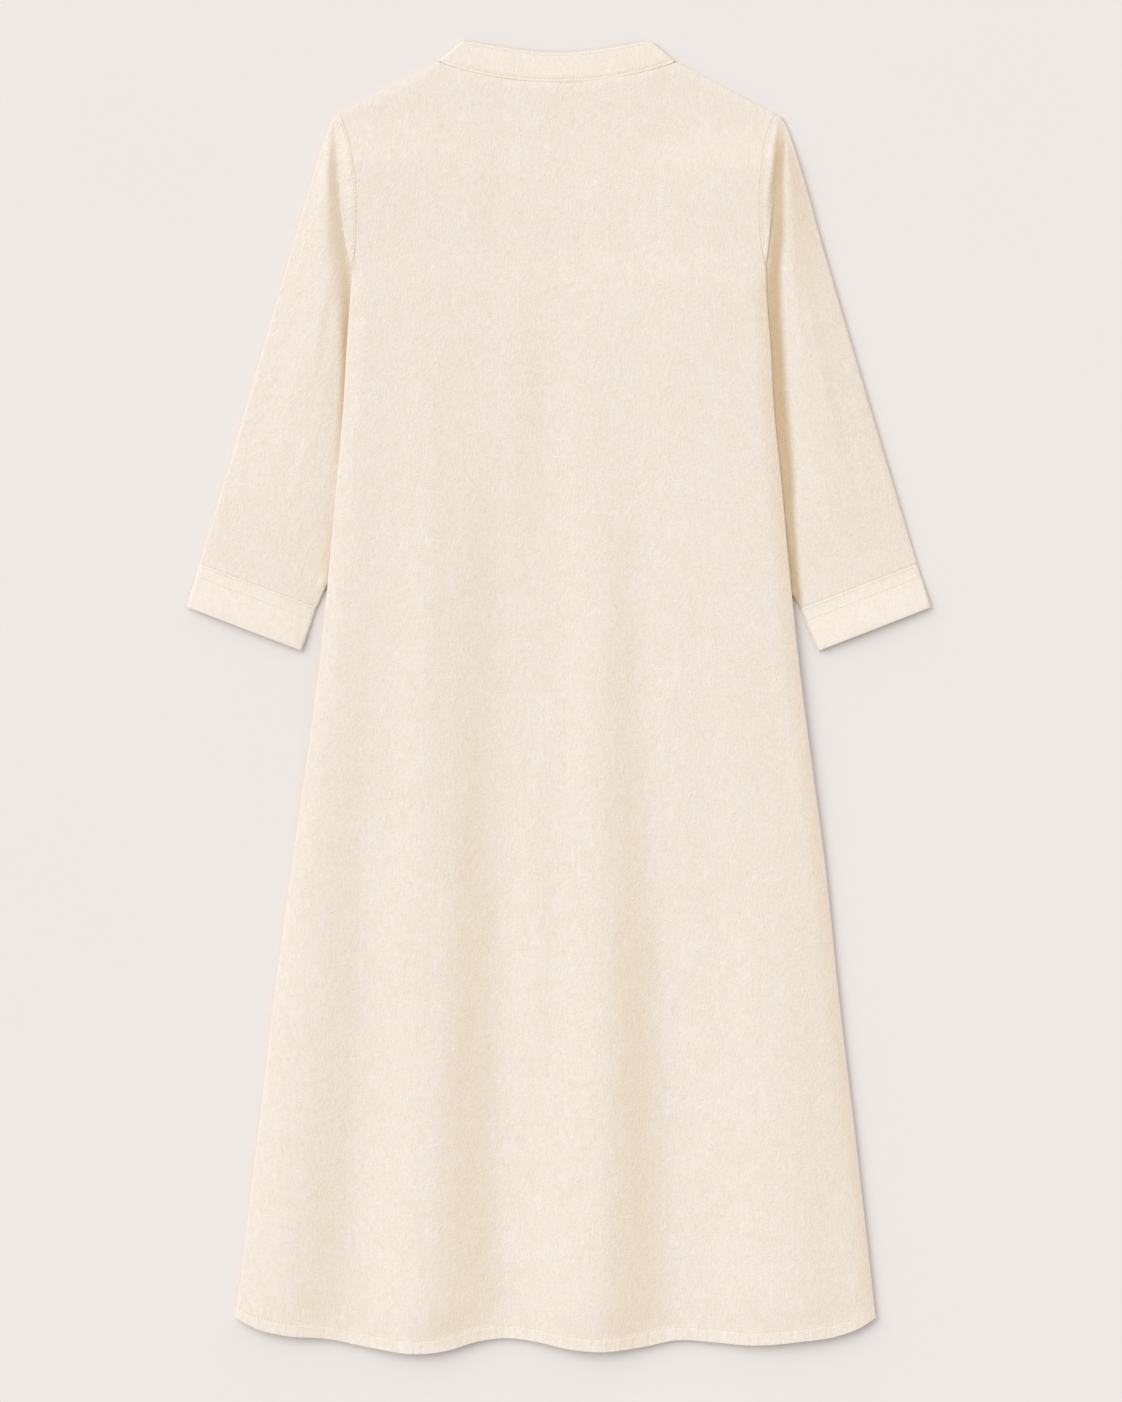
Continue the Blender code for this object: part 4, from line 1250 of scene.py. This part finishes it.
class KurtiCloth(bpy.types.PropertyGroup):
    """Relief and colours of the cloth, with the tints of its painted shade."""

    crease_height: bpy.props.FloatProperty(
        name="Crease height", default=1.0, min=0.0, max=2.0, unit="NONE",
        description="How high the soft ridges stand, as a share of their own heights")
    wave_height: bpy.props.FloatProperty(
        name="Wave height", default=1.0, min=0.0, max=2.0, unit="NONE",
        description="How strongly the gauze waves along its length, as a share")
    cloth_colour: bpy.props.FloatVectorProperty(
        name="Cloth colour", default=(0.829, 0.754, 0.6735), size=3, min=0.0, max=1.0,
        subtype="COLOR", description="Colour of the cotton where it is single")
    doubled_colour: bpy.props.FloatVectorProperty(
        name="Doubled colour", default=(0.854, 0.781, 0.698), size=3, min=0.0, max=1.0,
        subtype="COLOR", description="Colour of collar, cuffs, hem and seam allowances")
    # Painted shade: what the colour is multiplied by on slopes that fall away from the key light.
    shade_tint: bpy.props.FloatVectorProperty(
        name="Shade tint", default=(0.965, 0.87, 0.73), size=3, min=0.0, max=1.0,
        subtype="COLOR",
        description="What the cloth's colour is multiplied by where it falls away")
    # Painted shade: what a sleeve's colour is multiplied by beside the body and along the armhole
    # seam.
    tuck_shade_tint: bpy.props.FloatVectorProperty(
        name="Tuck shade tint", default=(0.72, 0.59, 0.42), size=3, min=0.0, max=1.0,
        subtype="COLOR", description="What a sleeve's colour is multiplied by beside the body")
    # Partly painted shade: the thread is darker than its own cream so that it carries the shade of
    # its stitch holes.
    thread_colour_and_shade: bpy.props.FloatVectorProperty(
        name="Thread colour and shade", default=(0.82, 0.72, 0.58), size=3, min=0.0, max=1.0,
        subtype="COLOR", description="Colour of the sewing thread")


class KurtiThread(bpy.types.PropertyGroup):
    """Sizes of the stitching, in metres."""

    stitch_length: bpy.props.FloatProperty(
        name="Stitch length", default=0.0024, min=0.001, max=0.006, unit="LENGTH", precision=4,
        description="Length of one stitch that shows")
    stitch_gap: bpy.props.FloatProperty(
        name="Stitch gap", default=0.0007, min=0.0002, max=0.004, unit="LENGTH", precision=4,
        description="Gap between two stitches")
    thread_width: bpy.props.FloatProperty(
        name="Thread width", default=0.00045, min=0.0002, max=0.001, unit="LENGTH", precision=5,
        description="Diameter of the sewing thread")


class KurtiStage(bpy.types.PropertyGroup):
    """The board, the camera and the light."""

    board_colour: bpy.props.FloatVectorProperty(
        name="Board colour", default=(0.800, 0.766, 0.749), size=3, min=0.0, max=1.0,
        subtype="COLOR", description="Colour of the board that the kurti lies on")
    lens: bpy.props.FloatProperty(
        name="Lens", default=200.0, min=35.0, max=400.0, unit="CAMERA",
        description="Focal length of the camera, straight above")
    framed_height: bpy.props.FloatProperty(
        name="Framed height", default=1.2338, min=0.8, max=3.0, unit="LENGTH",
        description="How much of the board the long side of the picture takes in")
    key_strength: bpy.props.FloatProperty(
        name="Key light", default=1.75, min=0.0, max=20.0, unit="NONE",
        description="Strength of the soft, even light from the upper left")
    fill_strength: bpy.props.FloatProperty(
        name="Fill light", default=0.70, min=0.0, max=3.0, unit="NONE",
        description="Strength of the even light from all round")


# ---------------------------------------------------------------- pieces


def dress(piece, node, material):
    """Give a piece its finish and let it stand for its node."""
    piece.data.materials.clear()
    piece.data.materials.append(material)
    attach(piece, "root")
    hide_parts(node)


def body_doubled(across, down, hem_lift):
    """1 on the hem's turn and on the seam allowances along the neck and shoulders."""
    side = side_of(across)
    hem = read(HEM, "down", across, by="across") - hem_lift - down
    value = 1 - smooth(hem - HEM_TURN, -HEM_DOUBLED_BLEND, HEM_DOUBLED_BLEND)
    if down < CROSSING_DOWN and abs(across) < panel_half(side, down) + ALLOWANCE_WITHIN:
        allowance = 1 - smooth(down - back_top(across), *ALLOWANCE_ENDS)
        value = max(value, BODY_ALLOWANCE * allowance)
    return value


def masks_of(rows, value_at):
    """A value at each point of a piece."""
    return np.array([[value_at(across, down) for across, down, _ in row] for row in rows])


class KURTI_OT_back(bpy.types.Operator):
    """Add the back panel, which shows, with its folds, creases and turned hem"""

    bl_idname = "kurti.back"
    bl_label = "Back panel"

    def execute(self, context):
        rows = panel_rows(BACK_COLUMNS, back_top, 0.0, back_level, True)
        doubled = masks_of(rows, lambda across, down: body_doubled(across, down, 0.0))
        # The last mask paints the armhole seam line on the body's side.
        piece = cloth_piece("back_panel", rows, WALL, doubled,
                            tucked=masks_of(rows, armhole_shade))
        dress(piece, "back", cotton_material("body_cotton"))
        thread = thread_piece("back_hem_stitches", hem_stitches(0.0, back_surface))
        return {"FINISHED"}


def hem_stitches(hem_lift, surface_at):
    """A row along the top of the hem's turn."""
    left, right = HEM["across"][0] + HEM_STITCH_INSET, HEM["across"][-1] - HEM_STITCH_INSET

    def place_at(share):
        across = mix(left, right, share)
        down = read(HEM, "down", across, by="across") - hem_lift - HEM_TURN
        fold = side_fold(side_of(across), min(down, HEM_CORNER_DOWN)) - HEM_STITCH_IN_FOLD
        return surface_at(max(-fold, min(fold, across)), down)

    return stitch_line(place_at)


def front_surface(across, down):
    """A place just inside the front's outer side, which the board meets."""
    return place(across, down, UNDER_THREAD_LEVEL)


class KURTI_OT_front(bpy.types.Operator):
    """Add the front panel, which lies flat on the board, with its neck slit"""

    bl_idname = "kurti.front"
    bl_label = "Front panel"

    def execute(self, context):
        rows = panel_rows(front_columns(), front_top, FRONT_HEM_SHORTER, front_level, False)
        doubled = masks_of(
            rows, lambda across, down: body_doubled(across, down, FRONT_HEM_SHORTER))
        piece = cloth_piece("front_panel", rows, WALL, doubled)
        dress(piece, "front", cotton_material("body_cotton"))
        thread = thread_piece("front_hem_stitches", hem_stitches(FRONT_HEM_SHORTER, front_surface),
                              up=(0.0, 0.0, -1.0))
        return {"FINISHED"}


def armhole_stitches(side):
    """A row on the sleeve's strip beside its seam, from the shoulder to where it turns under."""

    def place_at(share):
        down = mix(SHOULDER_POINT_DOWN + ARMHOLE_STITCH_STARTS,
                   CROSSING_DOWN - ARMHOLE_STITCH_STOPS, share)
        half = read(ARMHOLE, side, down) + ARMHOLE_STITCH_OFFSET
        return place(outward(side) * half, down, top_level(down) + WALL / 2)

    return stitch_line(place_at)


class KURTI_OT_sleeves(bpy.types.Operator):
    """Add both sleeves, which come out of the tucked sides"""

    bl_idname = "kurti.sleeves"
    bl_label = "Sleeves"

    def execute(self, context):
        for side in ("left", "right"):
            rows = sleeve_rows(side)
            doubled = masks_of(rows, lambda across, down: sleeve_doubled(side, across, down))
            # Painted shade beside the body's edge and a painted line along the armhole seam.
            tucked = masks_of(rows, lambda across, down: sleeve_tuck_shade(side, across, down))
            piece = cloth_piece(f"sleeve_{side}_cloth", rows, WALL, doubled, tucked=tucked)
            dress(piece, f"sleeve_{side}", cotton_material("sleeve_cotton"))
            thread = thread_piece(f"armhole_{side}_stitches", armhole_stitches(side))
        return {"FINISHED"}


def sleeve_doubled(side, across, down):
    """1 on the seam allowance that is pressed from the armhole into the sleeve."""
    if down > CROSSING_DOWN:
        return 0.0
    beyond = abs(across) - read(ARMHOLE, side, down)
    return SLEEVE_ALLOWANCE * (1 - smooth(beyond, *ALLOWANCE_ENDS))


def sleeve_tuck_shade(side, across, down):
    """The painted shade where the sleeve goes in behind the body's edge, and the painted line
    along the armhole seam.
    """
    beyond = abs(across) - side_fold(side, down)
    deepest = read(TUCKED_SHADE, side + "_from", down)
    wide = read(TUCKED_SHADE, side + "_wide", down)
    shade = read(TUCKED_SHADE, side, down) * smooth(beyond, deepest - SHADE_RUN_IN, deepest)
    shade *= 1 - smooth(beyond - deepest, SHADE_FLAT[side] * wide, wide)
    if down < CROSSING_DOWN:
        shade = max(shade, seam_shade(side, abs(across) - read(ARMHOLE, side, down)))
    return shade


def seam_shade(side, off):
    """The thin warm line of a pressed seam, painted: partly the seam's own darker colour and
    partly the shade of its groove.
    """
    return SEAM_SHADE[side] * (1 - smooth(off, *SEAM_SHADE_ENDS))


def armhole_shade(across, down):
    """The painted seam line on the body's own side of the armhole seam."""
    side = side_of(across)
    if down > CROSSING_DOWN:
        return 0.0
    return seam_shade(side, read(ARMHOLE, side, down) - abs(across))


def collar_stitches(band, is_back):
    """A row along the collar, at its height on the band, on its back or front half."""
    lift = COLLAR_WALL / 2 if is_back else UNDER_THREAD_LEVEL - COLLAR_LOW

    def place_at(share):
        across = mix(-1.0, 1.0, share)
        side = side_of(across)
        whole = neck_half(side) - COLLAR_INSET
        least = 0.0 if is_back else (SLIT_HALF + BAND_STITCH_INSET) / whole
        half = whole * max(abs(across), least)
        x, down, level = collar_point(side, half, band, is_back)
        return place(x, down, level + lift)

    return stitch_line(place_at)


class KURTI_OT_collar(bpy.types.Operator):
    """Add the standing band that lies folded flat round the neck"""

    bl_idname = "kurti.collar"
    bl_label = "Collar band"

    def execute(self, context):
        rows = collar_rows()
        piece = cloth_piece("collar_band", rows, COLLAR_WALL, masks_of(rows, lambda *_: 1.0))
        dress(piece, "collar", cotton_material("band_cotton", 1.0))
        low, high = BAND_STITCH_INSET / COLLAR_HEIGHT, 1 - BAND_STITCH_INSET / COLLAR_HEIGHT
        outer = thread_piece("collar_back_stitches",
                             collar_stitches(low, True) + collar_stitches(high, True))
        under = thread_piece("collar_front_stitches",
                             collar_stitches(low, False) + collar_stitches(high, False),
                             up=(0.0, 0.0, -1.0))
        return {"FINISHED"}


def cuff_stitches(side, share, up):
    """A row round one face of a cuff, which is its upper one where up is 1."""
    corners = CUFF_CORNERS[side]
    inner = [mix(a, b, share) for a, b in zip(corners["inner_seam"], corners["inner_end"])]
    outer = [mix(a, b, share) for a, b in zip(corners["outer_seam"], corners["outer_end"])]

    def place_at(along):
        along = mix(*CUFF_STITCH_ENDS, along)
        half, down = (mix(a, b, along) for a, b in zip(inner, outer))
        if up < 0:
            return place(outward(side) * half, down, cuff_lift(share) + UNDER_THREAD_LEVEL)
        return place(outward(side) * half, down,
                     cuff_level(side, half, along, share) + CUFF_WALL / 2)

    return stitch_line(place_at)


class KURTI_OT_cuffs(bpy.types.Operator):
    """Add the band that finishes each sleeve"""

    bl_idname = "kurti.cuffs"
    bl_label = "Cuffs"

    def execute(self, context):
        for side in ("left", "right"):
            rows = cuff_rows(side)
            piece = cloth_piece(f"cuff_{side}_band", rows, CUFF_WALL,
                                masks_of(rows, lambda *_: 1.0), closed=True)
            dress(piece, f"cuff_{side}", cotton_material("band_cotton", 1.0))
            for name, up in (("outer", 1.0), ("under", -1.0)):
                ends = [pair for share in CUFF_STITCH_SHARES
                        for pair in cuff_stitches(side, share, up)]
                thread_piece(f"cuff_{side}_{name}_stitches", ends, up=(0.0, 0.0, up))
        return {"FINISHED"}


class KURTI_OT_stage(bpy.types.Operator):
    """Add the pale board, the soft light and the camera straight above"""

    bl_idname = "kurti.stage"
    bl_label = "Stage"

    def execute(self, context):
        settings = context.scene.kurti_stage
        bpy.ops.object.select_all(action="DESELECT")
        bpy.ops.mesh.primitive_plane_add(size=BOARD_SIZE, location=(0.0, 0.0, 0.0))
        board = context.active_object
        board.name = "board"
        board.data.materials.append(floor_material())
        sun_data = bpy.data.lights.new("key_light", "SUN")
        sun_data.energy = settings.key_strength
        sun_data.angle = math.radians(KEY_SOFTNESS)
        sun_data.color = LIGHT_COLOUR
        sun = bpy.data.objects.new("key_light", sun_data)
        context.scene.collection.objects.link(sun)
        sun.rotation_euler = Vector(KEY_DIRECTION).to_track_quat("Z", "Y").to_euler()
        world = bpy.data.worlds.new("pale_room")
        world.use_nodes = True
        n = Nodes(world.node_tree)
        background = world.node_tree.nodes["Background"]
        seen = n.add("LightPath").outputs["Is Camera Ray"]
        fill = tuple(channel * settings.fill_strength for channel in LIGHT_COLOUR) + (1.0,)
        world.node_tree.links.new(n.mixed(seen, fill, ROOM_COLOUR + (1.0,)),
                                  background.inputs["Color"])
        context.scene.world = world
        camera_data = bpy.data.cameras.new("camera")
        camera_data.lens = settings.lens
        camera_data.sensor_width = SENSOR
        camera = bpy.data.objects.new("camera", camera_data)
        context.scene.collection.objects.link(camera)
        camera.location = (*CAMERA_CENTRE, settings.framed_height * settings.lens / SENSOR)
        context.scene.camera = camera
        context.scene.view_settings.view_transform = "Standard"
        return {"FINISHED"}


class KURTI_PT_panel(bpy.types.Panel):
    """Settings of the kurti and a button for each group of its pieces"""

    bl_idname = "KURTI_PT_panel"
    bl_label = "Kurti"
    bl_space_type = "VIEW_3D"
    bl_region_type = "UI"
    bl_category = "Kurti"

    def draw(self, context):
        for settings in (context.scene.kurti_cloth, context.scene.kurti_thread,
                         context.scene.kurti_stage):
            column = self.layout.column(align=True)
            for name in settings.bl_rna.properties.keys():
                if name not in ("rna_type", "name"):
                    column.prop(settings, name)
        for operator in OPERATORS:
            self.layout.operator(operator.bl_idname)


SETTINGS = {"kurti_cloth": KurtiCloth, "kurti_thread": KurtiThread, "kurti_stage": KurtiStage}
OPERATORS = (KURTI_OT_stage, KURTI_OT_front, KURTI_OT_back, KURTI_OT_sleeves, KURTI_OT_collar,
             KURTI_OT_cuffs)


def register():
    """Register the settings, the operators and the panel."""
    for made in (*SETTINGS.values(), *OPERATORS, KURTI_PT_panel):
        bpy.utils.register_class(made)
    for name, made in SETTINGS.items():
        setattr(bpy.types.Scene, name, bpy.props.PointerProperty(type=made))


def unregister():
    """Take away what register made."""
    for name in SETTINGS:
        delattr(bpy.types.Scene, name)
    for made in (KURTI_PT_panel, *reversed(OPERATORS), *reversed(list(SETTINGS.values()))):
        bpy.utils.unregister_class(made)


def main():
    """Make the stage and every piece."""
    register()
    for name in ("stage", "front", "back", "sleeves", "collar", "cuffs"):
        getattr(bpy.ops.kurti, name)()
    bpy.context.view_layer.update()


if __name__ == "__main__":
    main()
